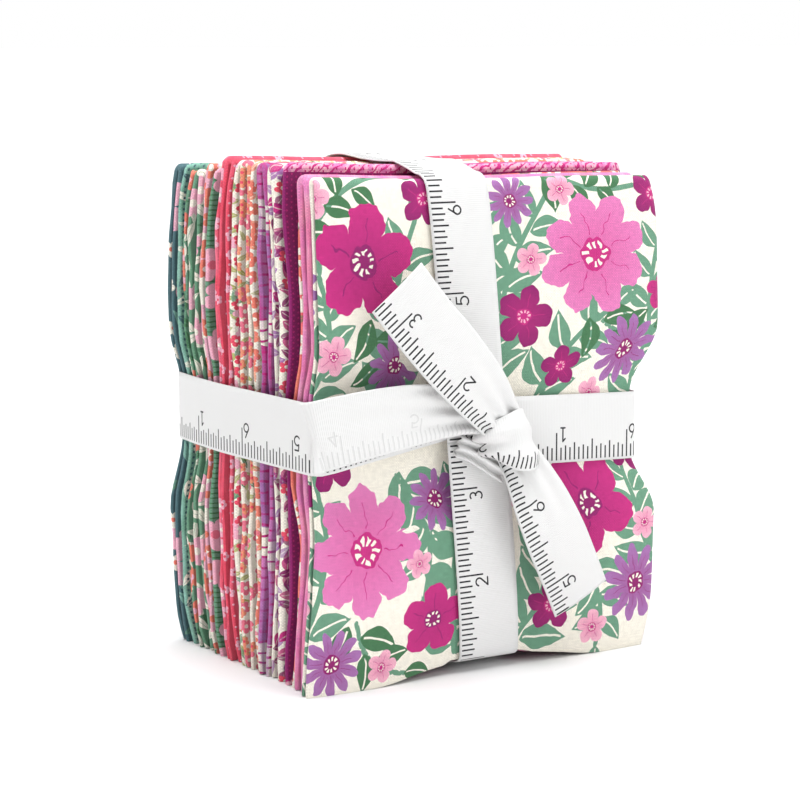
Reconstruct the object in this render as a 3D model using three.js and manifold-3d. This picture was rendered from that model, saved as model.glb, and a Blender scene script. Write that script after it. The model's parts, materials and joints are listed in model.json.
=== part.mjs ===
// Fat quarter bundle: folded cotton quarters standing on edge in one stack, tied both ways with one ribbon.
// Millimetres, +Z up. X runs across the front cloth, Y back through the stack, and the stack stands on Z = 0.
import * as THREE from "three";
import { mergeVertices } from "three/addons/utils/BufferGeometryUtils.js";
import Module from "manifold-3d";

// The folded stack
const CLOTH_WIDTH = 119;
const CLOTH_HEIGHT = 146;
const STACK_DEPTH = 83;
const LAYER_GAP = 0.52;

// The ribbon
const RIBBON_WIDTH = 20;
const RIBBON_THICKNESS = 1;
const RIBBON_GAP = 0.45;
const ROUND_BAND_HEIGHT = 70;
const OVER_BAND_TOP_X = -9.5;
const OVER_BAND_FOOT_X = 3;
const ROUND_BAND_SLOPE = -0.044;

// How the tight ribbon shapes the stack
const BAND_HALF = RIBBON_WIDTH / 2 + 1.5;
const ROUND_BAND_HALF = RIBBON_WIDTH / 2 - 2.5;
const ROUND_BAND_FADE = 22;
const OVER_BAND_FADE = 30;
const DEPTH_PINCH_ROUND = 0.07;
const DEPTH_PINCH_OVER = 0.035;
const DEPTH_TAPER_ENDS = 0.045;
const DEPTH_TAPER_SIDES = 0.02;
const WIDTH_PINCH = 0.055;
const WIDTH_PINCH_OUTER = 0.01;
const WIDTH_TAPER_ENDS = 0.045;
const SWAY = 2.6;
const TOP_DIP = 0.6;
const FOOT_GROOVE = RIBBON_GAP + RIBBON_THICKNESS;
const FOOT_GROOVE_FADE = 4.5;
const FOOT_GROOVE_HEIGHT = 40;
const FRONT_FOOT_LIFT = 3.2;
const FRONT_DRAW = { depth: 4.2, from: 5, run: 20 };

// Where each leg has a row of corners, up from its foot, and where the cloth has columns beside the over band
const LEG_ROWS = [0, 40, 58, 82, 100, 124];
const BAND_COLUMNS = [-36, -16, -11, 11, 16, 36];
const ARCH_ANGLES = [135, 90, 45];

// The round side fold of a leg, in leg thicknesses in from its edge
const SIDE_FOLD = [
  { inset: 0, fullness: 0.34 },
  { inset: 0.22, fullness: 0.8 },
  { inset: 0.6, fullness: 1 },
];

// The quarters, front to back. share is a quarter's part of the stack's depth, left and right lift its top at
// those sides, top and foot draw its left edge in at those ends, and reach pushes its right edge out.
const QUARTERS = [
  { name: "quarter_01_cream_floral", share: 5.7, tint: 0xe9e3d3,
    left: -2, right: -4.8, top: 3.7, foot: -0.4, reach: 1.4 },
  { name: "quarter_02_pink_marl", share: 8.4, tint: 0xd978ad,
    left: -1.5, right: -4.3, top: 3.5, foot: 0.8, reach: -0.6 },
  { name: "quarter_03_coral_leaf", share: 3.8, tint: 0xd8685f,
    left: -2.5, right: -4, top: 4.6, foot: 2.2, reach: -1.4 },
  { name: "quarter_04_plum_dot", share: 4.4, tint: 0x7b2267,
    left: 1.4, right: -1.6, top: 1.6, foot: 1.4, reach: 0.8 },
  { name: "quarter_05_berry_leaf", share: 9.4, tint: 0xe6d8d6,
    left: 0.9, right: -2, top: 0.6, foot: 0.9, reach: -0.4 },
  { name: "quarter_06_lilac_stripe", share: 6.6, tint: 0x9a5a92,
    left: 0.8, right: -2, top: 1.2, foot: 0.2, reach: 1 },
  { name: "quarter_07_orange_sprig", share: 4.4, tint: 0xe98a63,
    left: 0.9, right: -1.4, top: 0.3, foot: 1.4, reach: 0.2 },
  { name: "quarter_08_poppy_ditsy", share: 6.2, tint: 0xe7c9bd,
    left: 1.1, right: -1.2, top: 0.7, foot: 0.1, reach: -0.7 },
  { name: "quarter_09_olive_bud", share: 5, tint: 0xd9d3ae,
    left: 0.9, right: -1.4, top: 0, foot: 0.6, reach: 0.9 },
  { name: "quarter_10_red_spot", share: 6.2, tint: 0xd93c57,
    left: 1.9, right: -0.4, top: 0.1, foot: 0.2, reach: 0.4 },
  { name: "quarter_11_rose_spot", share: 4.6, tint: 0xe05c72,
    left: 1.7, right: -0.6, top: 0.4, foot: 0.4, reach: -0.8 },
  { name: "quarter_12_green_rib", share: 4.6, tint: 0x54806a,
    left: -1.8, right: -3.2, top: -0.8, foot: -0.6, reach: 0.6 },
  { name: "quarter_13_coral_bloom", share: 5.2, tint: 0xd99a8c,
    left: -0.8, right: -3, top: -0.4, foot: -0.4, reach: -0.2 },
  { name: "quarter_14_leaf_spray", share: 6.4, tint: 0x7d9c7c,
    left: -2.6, right: -4, top: -1.6, foot: -0.6, reach: 0.7 },
  { name: "quarter_15_mint_leaf", share: 5.4, tint: 0xb9c9b2,
    left: -3, right: -4.2, top: -1.6, foot: -1.2, reach: -0.5 },
  { name: "quarter_16_mint_dot", share: 4.8, tint: 0x6fa595,
    left: -1.3, right: -4, top: -1.4, foot: -1.4, reach: 0.3 },
  { name: "quarter_17_teal_floral", share: 6.4, tint: 0x3f6468,
    left: -1.6, right: -4.4, top: -1.2, foot: -1.6, reach: -1 },
];
const CLOTH_ROUGHNESS = 0.9;
const RIBBON_TINT = 0xf4f4f2;
const RIBBON_ROUGHNESS = 0.75;

// The bow, as routes of the ribbon's middle line in front of the stack, with the ribbon's width along each
const KNOT = { x: 3, y: -44.6, z: 68.5, halfX: 12, halfY: 5.6, halfZ: 10.5 };
const LOOP_ROUTE = [
  { x: 2, y: -43.6, z: 71, width: 9 },
  { x: -14, y: -43.6, z: 76, width: 13.5 },
  { x: -34, y: -43.9, z: 76, width: 19 },
  { x: -54, y: -43.6, z: 73.8, width: 20 },
  { x: -58.4, y: -45.2, z: 74.4, width: 20 },
  { x: -54.5, y: -46.9, z: 75.2, width: 20 },
  { x: -36, y: -49, z: 77.8, width: 18.6 },
  { x: -14, y: -47.8, z: 77.6, width: 14 },
  { x: 2, y: -46.4, z: 72, width: 9 },
];
const LOOP_ACROSS = new THREE.Vector3(-0.2, 0, 0.98);
const UPPER_TAIL_ROUTE = [
  { x: 4, y: -46.5, z: 69, width: 10 },
  { x: -5, y: -48.6, z: 79.5, width: 16 },
  { x: -16, y: -50, z: 92, width: 20 },
  { x: -27, y: -50.6, z: 104, width: 20 },
  { x: -38, y: -50, z: 116, width: 20 },
];
const LOWER_TAIL_ROUTE = [
  { x: 4, y: -46.5, z: 68, width: 10 },
  { x: 9.5, y: -47.4, z: 58.5, width: 13 },
  { x: 16, y: -48, z: 46, width: 19 },
  { x: 22.5, y: -48.2, z: 33, width: 20 },
  { x: 29, y: -47.6, z: 20, width: 20 },
];
const STRAND_STEPS = 14;
const ARC_STEP = Math.PI / 6;
const OUT = new THREE.Vector3(0, -1, 0);

const wasm = await Module();
wasm.setup();

// 1 under the band, fading smoothly to 0 beside it
function plateau(distance, half, fade) {
  const share = Math.min(1, Math.max(0, (Math.abs(distance) - half) / fade));
  return 0.5 * (1 + Math.cos(Math.PI * share));
}

function overBandX(z) {
  return THREE.MathUtils.lerp(OVER_BAND_FOOT_X, OVER_BAND_TOP_X, z / CLOTH_HEIGHT);
}

function underRoundBand(z) {
  return plateau(z - ROUND_BAND_HEIGHT, ROUND_BAND_HALF, ROUND_BAND_FADE);
}

// The columns of corners across a quarter at one height, and how full the leg is at each
function columnsAt(z, leg, quarter) {
  const free = 1 - underRoundBand(z);
  const tuck = THREE.MathUtils.lerp(quarter.foot, quarter.top, z / CLOTH_HEIGHT);
  const left = -CLOTH_WIDTH / 2 + tuck * free;
  const right = CLOTH_WIDTH / 2 + quarter.reach * free;
  return [
    ...SIDE_FOLD.map(({ inset, fullness }) => ({ x: left + inset * leg, fullness })),
    ...BAND_COLUMNS.map((offset) => ({ x: overBandX(z) + offset, fullness: 1 })),
    ...SIDE_FOLD.toReversed().map(({ inset, fullness }) => ({ x: right - inset * leg, fullness })),
  ];
}

// A point of the loose, square stack moved to where the tight ribbon holds it
function squeeze(x, y, z, quarter) {
  const round = underRoundBand(z);
  const over = plateau(x - overBandX(z), BAND_HALF, OVER_BAND_FADE);
  const end = Math.pow(Math.abs(z / CLOTH_HEIGHT - 0.5) * 2, 6);
  const side = Math.pow(Math.abs(x) / (CLOTH_WIDTH / 2), 6);
  const outer = Math.pow(Math.abs(y) / (STACK_DEPTH / 2), 4);
  const depth =
    1 - DEPTH_PINCH_ROUND * round - DEPTH_PINCH_OVER * over -
    DEPTH_TAPER_ENDS * end - DEPTH_TAPER_SIDES * side;
  const width = round * (WIDTH_PINCH + WIDTH_PINCH_OUTER * outer) + WIDTH_TAPER_ENDS * end;
  const fromMiddle = x / (CLOTH_WIDTH / 2);
  const up = Math.pow(Math.max(0, z / CLOTH_HEIGHT), 3);
  const rightShare = THREE.MathUtils.clamp(0.5 + fromMiddle / 2, 0, 1);
  const rise = THREE.MathUtils.lerp(quarter.left, quarter.right, rightShare) - TOP_DIP * over;
  const groove = plateau(x - overBandX(0), BAND_HALF, FOOT_GROOVE_FADE) * FOOT_GROOVE;
  const ahead = THREE.MathUtils.clamp(-y / (STACK_DEPTH / 2), 0, 1);
  const footLift = FRONT_FOOT_LIFT * over * Math.pow(ahead, 3);
  const low = Math.max(0, 1 - z / FOOT_GROOVE_HEIGHT);
  const leftward = Math.pow(Math.max(0, -fromMiddle), 2);
  const forward = THREE.MathUtils.clamp((FRONT_DRAW.from - y) / FRONT_DRAW.run, 0, 1);
  const waist = Math.max(0, 1 - Math.pow(Math.abs(z / CLOTH_HEIGHT - 0.5) * 2, 2.5));
  const draw = FRONT_DRAW.depth * leftward * forward * waist;
  return new THREE.Vector3(
    x * (1 - width * fromMiddle * fromMiddle) - SWAY * round * fromMiddle * fromMiddle + draw,
    y * depth,
    z + rise * up + (groove + footLift) * low,
  );
}

// The back-and-forth line of a quarter from its front foot up, over the top fold and down to its back foot.
// turn is the way out of the fold, 180 degrees on the front leg and 0 on the back one.
function foldLine(shoulder) {
  const rows = [...LEG_ROWS, shoulder];
  return [
    ...rows.map((z) => ({ turn: 180, z })),
    ...ARCH_ANGLES.map((turn) => ({ turn, z: shoulder })),
    ...rows.toReversed().map((z) => ({ turn: 0, z })),
  ];
}

// One folded quarter: a flat pad bent along its fold line, then squeezed by the ribbon
function quarterGeometry(quarter, front, back) {
  const leg = (back - front - LAYER_GAP) / 2;
  const middle = (front + back) / 2;
  const bend = (leg + LAYER_GAP) / 2;
  const line = foldLine(CLOTH_HEIGHT - bend - leg / 2);
  const across = BAND_COLUMNS.length + 2 * SIDE_FOLD.length - 1;
  const along = line.length - 1;
  const geometry = new THREE.BoxGeometry(1, 1, 1, across, 1, along);
  const corners = geometry.getAttribute("position");
  for (let i = 0; i < corners.count; i++) {
    const { turn, z } = line[Math.round((0.5 - corners.getZ(i)) * along)];
    const { x, fullness } = columnsAt(z, leg, quarter)[Math.round((0.5 + corners.getX(i)) * across)];
    const reach = bend + corners.getY(i) * leg * fullness;
    const angle = THREE.MathUtils.degToRad(turn);
    const place = squeeze(x, middle + reach * Math.cos(angle), z + reach * Math.sin(angle), quarter);
    corners.setXYZ(i, ...place.toArray());
  }
  return plainGeometry(geometry);
}

// A geometry with only its shared corners, as a solid needs it
function plainGeometry(geometry) {
  geometry.deleteAttribute("normal");
  geometry.deleteAttribute("uv");
  return mergeVertices(geometry, 1e-4);
}

function solidOf(geometry) {
  const plain = plainGeometry(geometry);
  const vertProperties = new Float32Array(plain.getAttribute("position").array);
  const triVerts = new Uint32Array(plain.index.array);
  return new wasm.Manifold(new wasm.Mesh({ numProp: 3, vertProperties, triVerts }));
}

function geometryOf(solid) {
  const { vertProperties, triVerts } = solid.getMesh();
  const geometry = new THREE.BufferGeometry();
  geometry.setAttribute("position", new THREE.BufferAttribute(vertProperties, 3));
  geometry.setIndex(new THREE.BufferAttribute(triVerts, 1));
  return geometry;
}

// The convex outline of points in a plane, anticlockwise
function hull(points) {
  const sorted = points.toSorted((a, b) => a.x - b.x || a.y - b.y);
  const turn = (a, b, c) => (b.x - a.x) * (c.y - a.y) - (b.y - a.y) * (c.x - a.x);
  const half = (list) => {
    const chain = [];
    for (const point of list) {
      while (chain.length > 1 && turn(chain.at(-2), chain.at(-1), point) <= 1e-3) chain.pop();
      chain.push(point);
    }
    return chain.slice(0, -1);
  };
  return [...half(sorted), ...half(sorted.toReversed())];
}

// A convex outline moved outwards by an offset: a mitre at a slight corner, an arc at a sharp one
function outset(outline, offset) {
  return outline.flatMap((corner, i) => {
    const before = outline.at(i - 1);
    const after = outline[(i + 1) % outline.length];
    const start = Math.atan2(before.x - corner.x, corner.y - before.y);
    const end = Math.atan2(corner.x - after.x, after.y - corner.y);
    const swing = THREE.MathUtils.euclideanModulo(end - start, 2 * Math.PI);
    const steps = Math.ceil(swing / ARC_STEP);
    const angles = Array.from({ length: steps }, (_, k) => start + (swing * (k + 0.5)) / steps);
    const reach = offset / Math.cos(swing / steps / 2);
    return angles.map((angle) => {
      const out = new THREE.Vector2(Math.cos(angle), Math.sin(angle));
      return out.multiplyScalar(reach).add(corner);
    });
  });
}

// A band of ribbon pulled taut round an outline, as wide as the ribbon
function tautBand(points) {
  const outline = hull(points);
  const band = new THREE.Shape(outset(outline, RIBBON_GAP + RIBBON_THICKNESS));
  band.holes.push(new THREE.Path(outset(outline, RIBBON_GAP)));
  return new THREE.ExtrudeGeometry(band, { depth: RIBBON_WIDTH, bevelEnabled: false });
}

function cornersOf(meshes) {
  return meshes.flatMap((mesh) => {
    const corners = mesh.geometry.getAttribute("position");
    const corner = (_, i) => new THREE.Vector3().fromBufferAttribute(corners, i);
    return Array.from({ length: corners.count }, corner);
  });
}

function roundBand(corners) {
  const held = corners.filter((p) => Math.abs(p.z - ROUND_BAND_HEIGHT) < BAND_HALF + 1);
  const band = tautBand(held.map((p) => new THREE.Vector2(p.x, p.y)));
  const points = band.getAttribute("position");
  for (let i = 0; i < points.count; i++) {
    const middle = ROUND_BAND_HEIGHT + ROUND_BAND_SLOPE * points.getX(i);
    points.setZ(i, middle + points.getZ(i) - RIBBON_WIDTH / 2);
  }
  return band;
}

function overBand(corners) {
  const held = corners.filter((p) => Math.abs(p.x - overBandX(p.z)) < BAND_HALF + 0.5);
  const band = tautBand(held.map((p) => new THREE.Vector2(p.y, p.z)));
  const points = band.getAttribute("position");
  for (let i = 0; i < points.count; i++) {
    const [y, z, across] = [points.getX(i), points.getY(i), points.getZ(i)];
    points.setXYZ(i, overBandX(z) + across - RIBBON_WIDTH / 2, y, z);
  }
  return band;
}

// A free length of ribbon bent along a route, with its width lying as near as it can to the given direction
function strand(route, across) {
  const line = new THREE.CatmullRomCurve3(route.map((p) => new THREE.Vector3(p.x, p.y, p.z)));
  const geometry = new THREE.BoxGeometry(1, RIBBON_THICKNESS, 1, STRAND_STEPS, 1, 1);
  const corners = geometry.getAttribute("position");
  for (let i = 0; i < corners.count; i++) {
    const along = corners.getX(i) + 0.5;
    const tangent = line.getTangent(along);
    const normal = new THREE.Vector3().crossVectors(across, tangent).normalize();
    const side = new THREE.Vector3().crossVectors(tangent, normal);
    const place = along * (route.length - 1);
    const row = Math.min(route.length - 2, Math.floor(place));
    const width = THREE.MathUtils.lerp(route[row].width, route[row + 1].width, place - row);
    const point = line.getPoint(along);
    point.addScaledVector(normal, corners.getY(i)).addScaledVector(side, corners.getZ(i) * width);
    corners.setXYZ(i, ...point.toArray());
  }
  return geometry;
}

function tailAcross(route) {
  const [first, last] = [route[0], route.at(-1)];
  return new THREE.Vector3(last.x - first.x, 0, last.z - first.z).normalize().cross(OUT);
}

function knot() {
  const lump = new THREE.SphereGeometry(1, 12, 8);
  return lump.scale(KNOT.halfX, KNOT.halfY, KNOT.halfZ).translate(KNOT.x, KNOT.y, KNOT.z);
}

function material(colour, roughness) {
  return new THREE.MeshStandardMaterial({ color: colour, roughness, metalness: 0 });
}

// The stack, front to back, each quarter filling its share of the depth
function makeQuarters() {
  const shares = QUARTERS.reduce((sum, quarter) => sum + quarter.share, 0);
  let front = -STACK_DEPTH / 2;
  return QUARTERS.map((quarter) => {
    const room = (quarter.share / shares) * (STACK_DEPTH + LAYER_GAP);
    const back = front + room - LAYER_GAP;
    const geometry = quarterGeometry(quarter, front, back);
    const mesh = new THREE.Mesh(geometry, material(quarter.tint, CLOTH_ROUGHNESS));
    mesh.name = quarter.name;
    front += room;
    return mesh;
  });
}

// The ribbon is one length: round the stack, over and under it, and tied in front with one loop and two tails
function makeRibbon(quarters) {
  const corners = cornersOf(quarters);
  const lengths = [
    overBand(corners),
    knot(),
    strand(LOOP_ROUTE, LOOP_ACROSS),
    strand(UPPER_TAIL_ROUTE, tailAcross(UPPER_TAIL_ROUTE)),
    strand(LOWER_TAIL_ROUTE, tailAcross(LOWER_TAIL_ROUTE)),
  ];
  const tied = lengths.map(solidOf).reduce((whole, length) => whole.add(length), solidOf(roundBand(corners)));
  const mesh = new THREE.Mesh(geometryOf(tied), material(RIBBON_TINT, RIBBON_ROUGHNESS));
  mesh.name = "ribbon";
  return mesh;
}

const quarters = makeQuarters();
const bundle = new THREE.Group();
bundle.add(...quarters, makeRibbon(quarters));

export default bundle;
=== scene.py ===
"""Dresses the fat quarter bundle: seventeen folded cotton quarters tied with a printed ribbon."""

import json
import math
import random

import bmesh
import bpy
import numpy as np
from bpy.props import FloatProperty, FloatVectorProperty, PointerProperty
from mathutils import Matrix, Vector

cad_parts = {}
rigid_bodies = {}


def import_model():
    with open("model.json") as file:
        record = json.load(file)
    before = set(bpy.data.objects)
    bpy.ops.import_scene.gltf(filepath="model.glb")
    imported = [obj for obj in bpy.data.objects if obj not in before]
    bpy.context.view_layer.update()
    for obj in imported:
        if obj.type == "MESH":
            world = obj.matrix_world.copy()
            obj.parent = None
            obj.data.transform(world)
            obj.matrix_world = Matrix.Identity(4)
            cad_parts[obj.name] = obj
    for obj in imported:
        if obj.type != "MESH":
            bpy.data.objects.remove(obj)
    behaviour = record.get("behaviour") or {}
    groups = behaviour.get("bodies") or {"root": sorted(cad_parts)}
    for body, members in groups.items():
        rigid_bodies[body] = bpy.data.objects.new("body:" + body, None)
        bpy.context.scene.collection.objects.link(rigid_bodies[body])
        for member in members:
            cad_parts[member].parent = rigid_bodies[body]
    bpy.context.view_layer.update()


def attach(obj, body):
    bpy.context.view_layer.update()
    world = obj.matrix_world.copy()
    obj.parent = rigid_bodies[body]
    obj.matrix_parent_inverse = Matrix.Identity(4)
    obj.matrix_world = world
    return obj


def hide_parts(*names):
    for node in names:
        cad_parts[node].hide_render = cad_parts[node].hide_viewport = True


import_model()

bl_info = {
    "name": "Fat Quarter Bundle",
    "version": (1, 0, 0),
    "blender": (4, 5, 0),
    "location": "View3D > Sidebar > Bundle",
    "description": "Folds the printed cotton quarters and ties them with a ruler ribbon",
    "category": "Object",
}

MM = 0.001
BODY = "root"
RIBBON_NODE = "ribbon"

# The folded stack, in millimetres, as its solids have it.
ROUND_BAND_HEIGHT = 70
OVER_BAND_TOP_X = -9.5
OVER_BAND_FOOT_X = 3
ROUND_BAND_SLOPE = -0.044
BAND_HALF = 11.5
ROUND_BAND_HALF = 7.5
ROUND_BAND_FADE = 22
OVER_BAND_FADE = 30
DEPTH_PINCH_ROUND = 0.07
DEPTH_PINCH_OVER = 0.035
DEPTH_TAPER_ENDS = 0.045
DEPTH_TAPER_SIDES = 0.02
WIDTH_PINCH = 0.055
WIDTH_PINCH_OUTER = 0.01
WIDTH_TAPER_ENDS = 0.045
SWAY = 2.6
TOP_DIP = 0.6
FOOT_GROOVE = 1.45
FOOT_GROOVE_FADE = 4.5
FOOT_GROOVE_HEIGHT = 40
FRONT_FOOT_LIFT = 3.2
FRONT_DRAW, DRAW_FROM, DRAW_RUN = 4.2, 5, 20

# How a leg's four plies lie, in ply pitches from its middle, from the right raw edge on.
PLIES = (3, -3, -1, 1)

# From front to back: name, share of the depth, lift of the top at the left and at the right,
# tuck of the left fold at the top and at the foot, reach of the right edge, how much of the
# quarter's left edge its front leg fills, and the folds' wander.
QUARTERS = (
    ("01_cream_floral", 5.7, -2, -4.8, 3.7, -0.4, 1.4, 0.5, 0.15),
    ("02_pink_marl", 8.4, -1.5, -4.3, 3.5, 0.8, -0.6, 0.55, 0.36),
    ("03_coral_leaf", 3.8, -2.5, -4, 4.6, 2.2, -1.4, 1, 0.54),
    ("04_plum_dot", 4.4, 1.4, -1.6, 1.6, 1.4, 0.8, 1, 0.48),
    ("05_berry_leaf", 9.4, 0.9, -2, 0.6, 0.9, -0.4, 0.72, 0.42),
    ("06_lilac_stripe", 6.6, 0.8, -2, 1.2, 0.2, 1, 0.45, 0.54),
    ("07_orange_sprig", 4.4, 0.9, -1.4, 0.3, 1.4, 0.2, 1, 0.6),
    ("08_poppy_ditsy", 6.2, 1.1, -1.2, 0.7, 0.1, -0.7, 0.5, 0.48),
    ("09_olive_bud", 5.0, 0.9, -1.4, 0, 0.6, 0.9, 1, 0.54),
    ("10_red_spot", 6.2, 1.9, -0.4, 0.1, 0.2, 0.4, 0.6, 0.42),
    ("11_rose_spot", 4.6, 1.7, -0.6, 0.4, 0.4, -0.8, 1, 0.54),
    ("12_green_rib", 4.6, -1.8, -3.2, -0.8, -0.6, 0.6, 1, 0.42),
    ("13_coral_bloom", 5.2, -0.8, -3, -0.4, -0.4, -0.2, 0.6, 0.6),
    ("14_leaf_spray", 6.4, -2.6, -4, -1.6, -0.6, 0.7, 0.5, 0.54),
    ("15_mint_leaf", 5.4, -3, -4.2, -1.6, -1.2, -0.5, 0.42, 0.48),
    ("16_mint_dot", 4.8, -1.3, -4, -1.4, -1.4, 0.3, 1, 0.36),
    ("17_teal_floral", 6.4, -1.6, -4.4, -1.2, -1.6, -1, 0.5, 0.3),
)

# Soft troughs (depth below zero) and swells of the outer cloth: where each starts and ends as
# (x, z) on the face, its half width and its depth, in millimetres.
FRONT_CREASES = (
    (-8, 78, -34, 104, 6.5, -1.7),
    (-4, 82, -14, 112, 5.5, -1.2),
    (12, 80, 30, 100, 6.5, -1.5),
    (-10, 58, -36, 34, 6.5, -1.4),
    (16, 58, 36, 30, 7, -1.3),
    (-54, 96, -30, 92, 9, 0.8),
    (26, 122, 52, 112, 10, 0.7),
    (-46, 24, -20, 14, 9, 0.7),
)
BACK_CREASES = (
    (-6, 80, -30, 106, 8, -0.9),
    (8, 80, 26, 108, 7, -0.8),
    (-6, 58, -32, 36, 7, -0.8),
    (10, 58, 30, 26, 8, -0.7),
)
CREASE_REACH = 9


def linear(code):
    """A colour written as red, green and blue bytes, as the shader's own numbers."""
    parts = [((code >> shift) & 255) / 255 for shift in (16, 8, 0)]
    return tuple(p / 12.92 if p <= 0.04045 else ((p + 0.055) / 1.055) ** 2.4 for p in parts)


def length(label, about, size):
    """A size that a user may change, in metres."""
    return FloatProperty(
        name=label, description=about, default=size, min=0, precision=5, unit="LENGTH"
    )


def colour(label, about, code):
    """A dye or ink that a user may change."""
    return FloatVectorProperty(
        name=label, description=about, default=linear(code), min=0, max=1, subtype="COLOR"
    )


class ClothSizes(bpy.types.PropertyGroup):
    """Sizes of the folded quarters."""

    width: length("Folded Width", "Width of a folded quarter", 0.119)
    height: length("Folded Height", "Height of a folded quarter", 0.146)
    depth: length("Stack Depth", "Depth of the seventeen quarters together", 0.083)
    gap: length("Layer Gap", "Air between neighbouring layers", 0.00052)
    thickness: length("Cloth Thickness", "Thickness of the woven cotton", 0.00024)
    cut_width: length("Cut Width", "Width of a quarter before it is folded", 0.457)
    cut_length: length("Cut Length", "Length of a quarter before it is folded", 0.559)
    thread: length("Thread Pitch", "Spacing of the threads in the weave", 0.00042)


class RibbonSizes(bpy.types.PropertyGroup):
    """Sizes of the ruler ribbon."""

    width: length("Ribbon Width", "Width of the ribbon", 0.020)
    thickness: length("Ribbon Thickness", "Thickness of the ribbon", 0.00035)
    standoff: length("Stand-off", "Air between the cloth and the ribbon", 0.0006)
    inch: length("Marked Inch", "Spacing of the numbered lines", 0.0254)
    line: length("Line Width", "Width of a printed line", 0.0005)


class PrintColours(bpy.types.PropertyGroup):
    """Dyes of the prints and the ribbon."""

    cream: colour("Cream", "Ground of the pale prints", 0xF6F1E3)
    magenta: colour("Magenta", "Large blossoms", 0xC5307F)
    pink: colour("Pink", "Marled ground and soft petals", 0xE180B9)
    blush: colour("Blush", "Pale petals and spots", 0xF3B6CA)
    lavender: colour("Lavender", "Asters and stripes", 0xA672AE)
    plum: colour("Plum", "Dark dotted ground and small petals", 0x90246A)
    sage: colour("Sage", "Leaves", 0x6C9B80)
    moss: colour("Moss", "Ground of the leafy and the ribbed print", 0x6C9C7E)
    forest: colour("Forest", "Dark leaves and ribs", 0x487852)
    coral: colour("Coral", "Warm petals and leaves", 0xEE8270)
    red: colour("Red", "Spotted ground", 0xEC546C)
    rose: colour("Rose", "Second spotted ground", 0xF07C94)
    orange: colour("Orange", "Sprigs", 0xF29A7C)
    olive: colour("Olive", "Buds", 0xAFB262)
    mint: colour("Mint", "Pale green ground", 0x8FC2B2)
    teal: colour("Teal", "Dark ground of the last quarter", 0x54747B)
    ribbon: colour("Ribbon", "Ribbon ground", 0xE2E2E1)
    ink: colour("Ink", "Lines and numbers on the ribbon", 0x2C2C2E)


class Value:
    """A result in a node tree. Sums and comparisons with it add Math nodes to the tree."""

    def __init__(self, nodes, socket):
        self.nodes, self.socket = nodes, socket

    def clamped(self):
        """The same result, kept between nought and one."""
        self.socket.node.use_clamp = True
        return self

    def __add__(self, other):
        return self.nodes.math("ADD", self, other)

    def __sub__(self, other):
        return self.nodes.math("SUBTRACT", self, other)

    def __rsub__(self, other):
        return self.nodes.math("SUBTRACT", other, self)

    def __mul__(self, other):
        return self.nodes.math("MULTIPLY", self, other)

    def __truediv__(self, other):
        return self.nodes.math("DIVIDE", self, other)

    def __rtruediv__(self, other):
        return self.nodes.math("DIVIDE", other, self)

    def __pow__(self, other):
        return self.nodes.math("POWER", self, other)

    def __mod__(self, other):
        return self.nodes.math("MODULO", self, other)

    def __lt__(self, other):
        return self.nodes.math("LESS_THAN", self, other)

    def __gt__(self, other):
        return self.nodes.math("GREATER_THAN", self, other)

    def __abs__(self):
        return self.nodes.math("ABSOLUTE", self)


class Nodes:
    """Adds nodes to one tree and links them as they come."""

    def __init__(self, tree):
        self.tree = tree

    def feed(self, socket, value):
        """A result, a link or a plain value into a socket."""
        if isinstance(value, Value):
            value = value.socket
        if isinstance(value, bpy.types.NodeSocket):
            self.tree.links.new(value, socket)
        else:
            socket.default_value = value

    def add(self, kind, settings=(), **values):
        """A node with its settings, its values by socket name with _ for a space."""
        made = self.tree.nodes.new(kind)
        for key, value in dict(settings).items():
            setattr(made, key, value)
        for key, value in values.items():
            self.feed(made.inputs[key.replace("_", " ")], value)
        return made

    def result(self, kind, settings=(), out=0, **values):
        """One result of a new node."""
        return Value(self, self.add(kind, settings, **values).outputs[out])

    def filled(self, kind, settings, values, out=0):
        """One result of a new node with values for its sockets in order."""
        made = self.add(kind, settings)
        for socket, value in zip(made.inputs, values):
            self.feed(socket, value)
        return Value(self, made.outputs[out])

    def math(self, operation, *values):
        """The result of a Math node."""
        return self.filled("ShaderNodeMath", {"operation": operation}, values)

    def vector(self, operation, *values, out=0):
        """The result of a Vector Math node."""
        return self.filled("ShaderNodeVectorMath", {"operation": operation}, values, out)

    def size(self, vector):
        """The length of a vector."""
        return self.vector("LENGTH", vector, out=1)

    def dot(self, one, other):
        """The dot product of two vectors."""
        return self.vector("DOT_PRODUCT", one, other, out=1)

    def scaled(self, vector, factor):
        """A vector times a number."""
        settings = {"operation": "SCALE"}
        return self.result("ShaderNodeVectorMath", settings, Vector=vector, Scale=factor)

    def turned(self, vector, angle):
        """A vector turned in its plane."""
        settings = {"rotation_type": "Z_AXIS"}
        return self.result("ShaderNodeVectorRotate", settings, Vector=vector, Angle=angle)

    def parts(self, vector):
        """The x, y and z of a vector."""
        made = self.add("ShaderNodeSeparateXYZ", Vector=vector)
        return [Value(self, socket) for socket in made.outputs]

    def joined(self, x, y):
        """A vector from x and y."""
        return self.result("ShaderNodeCombineXYZ", X=x, Y=y)

    def cloud(self, place, scale, detail, out=0):
        """Flat noise."""
        settings = {"noise_dimensions": "2D"}
        return self.result(
            "ShaderNodeTexNoise", settings, out, Vector=place, Scale=scale, Detail=detail
        )

    def attribute(self, name, out="Fac"):
        """What the cloth's points carry under a name."""
        return self.result("ShaderNodeAttribute", {"attribute_name": name}, out)

    def mix(self, mask, ground, dye, blend="MIX"):
        """A dye laid on the ground where the mask is one."""
        made = self.add("ShaderNodeMix", {"data_type": "RGBA", "blend_type": blend})
        for index, value in ((0, mask), (6, ground), (7, dye)):
            self.feed(made.inputs[index], value)
        return Value(self, made.outputs[2])

    def group(self, name, **values):
        """The results of a shared group with its own values."""
        made = self.add("ShaderNodeGroup", {"node_tree": group_named(name)}, **values)
        return {socket.name: Value(self, socket) for socket in made.outputs}


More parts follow.
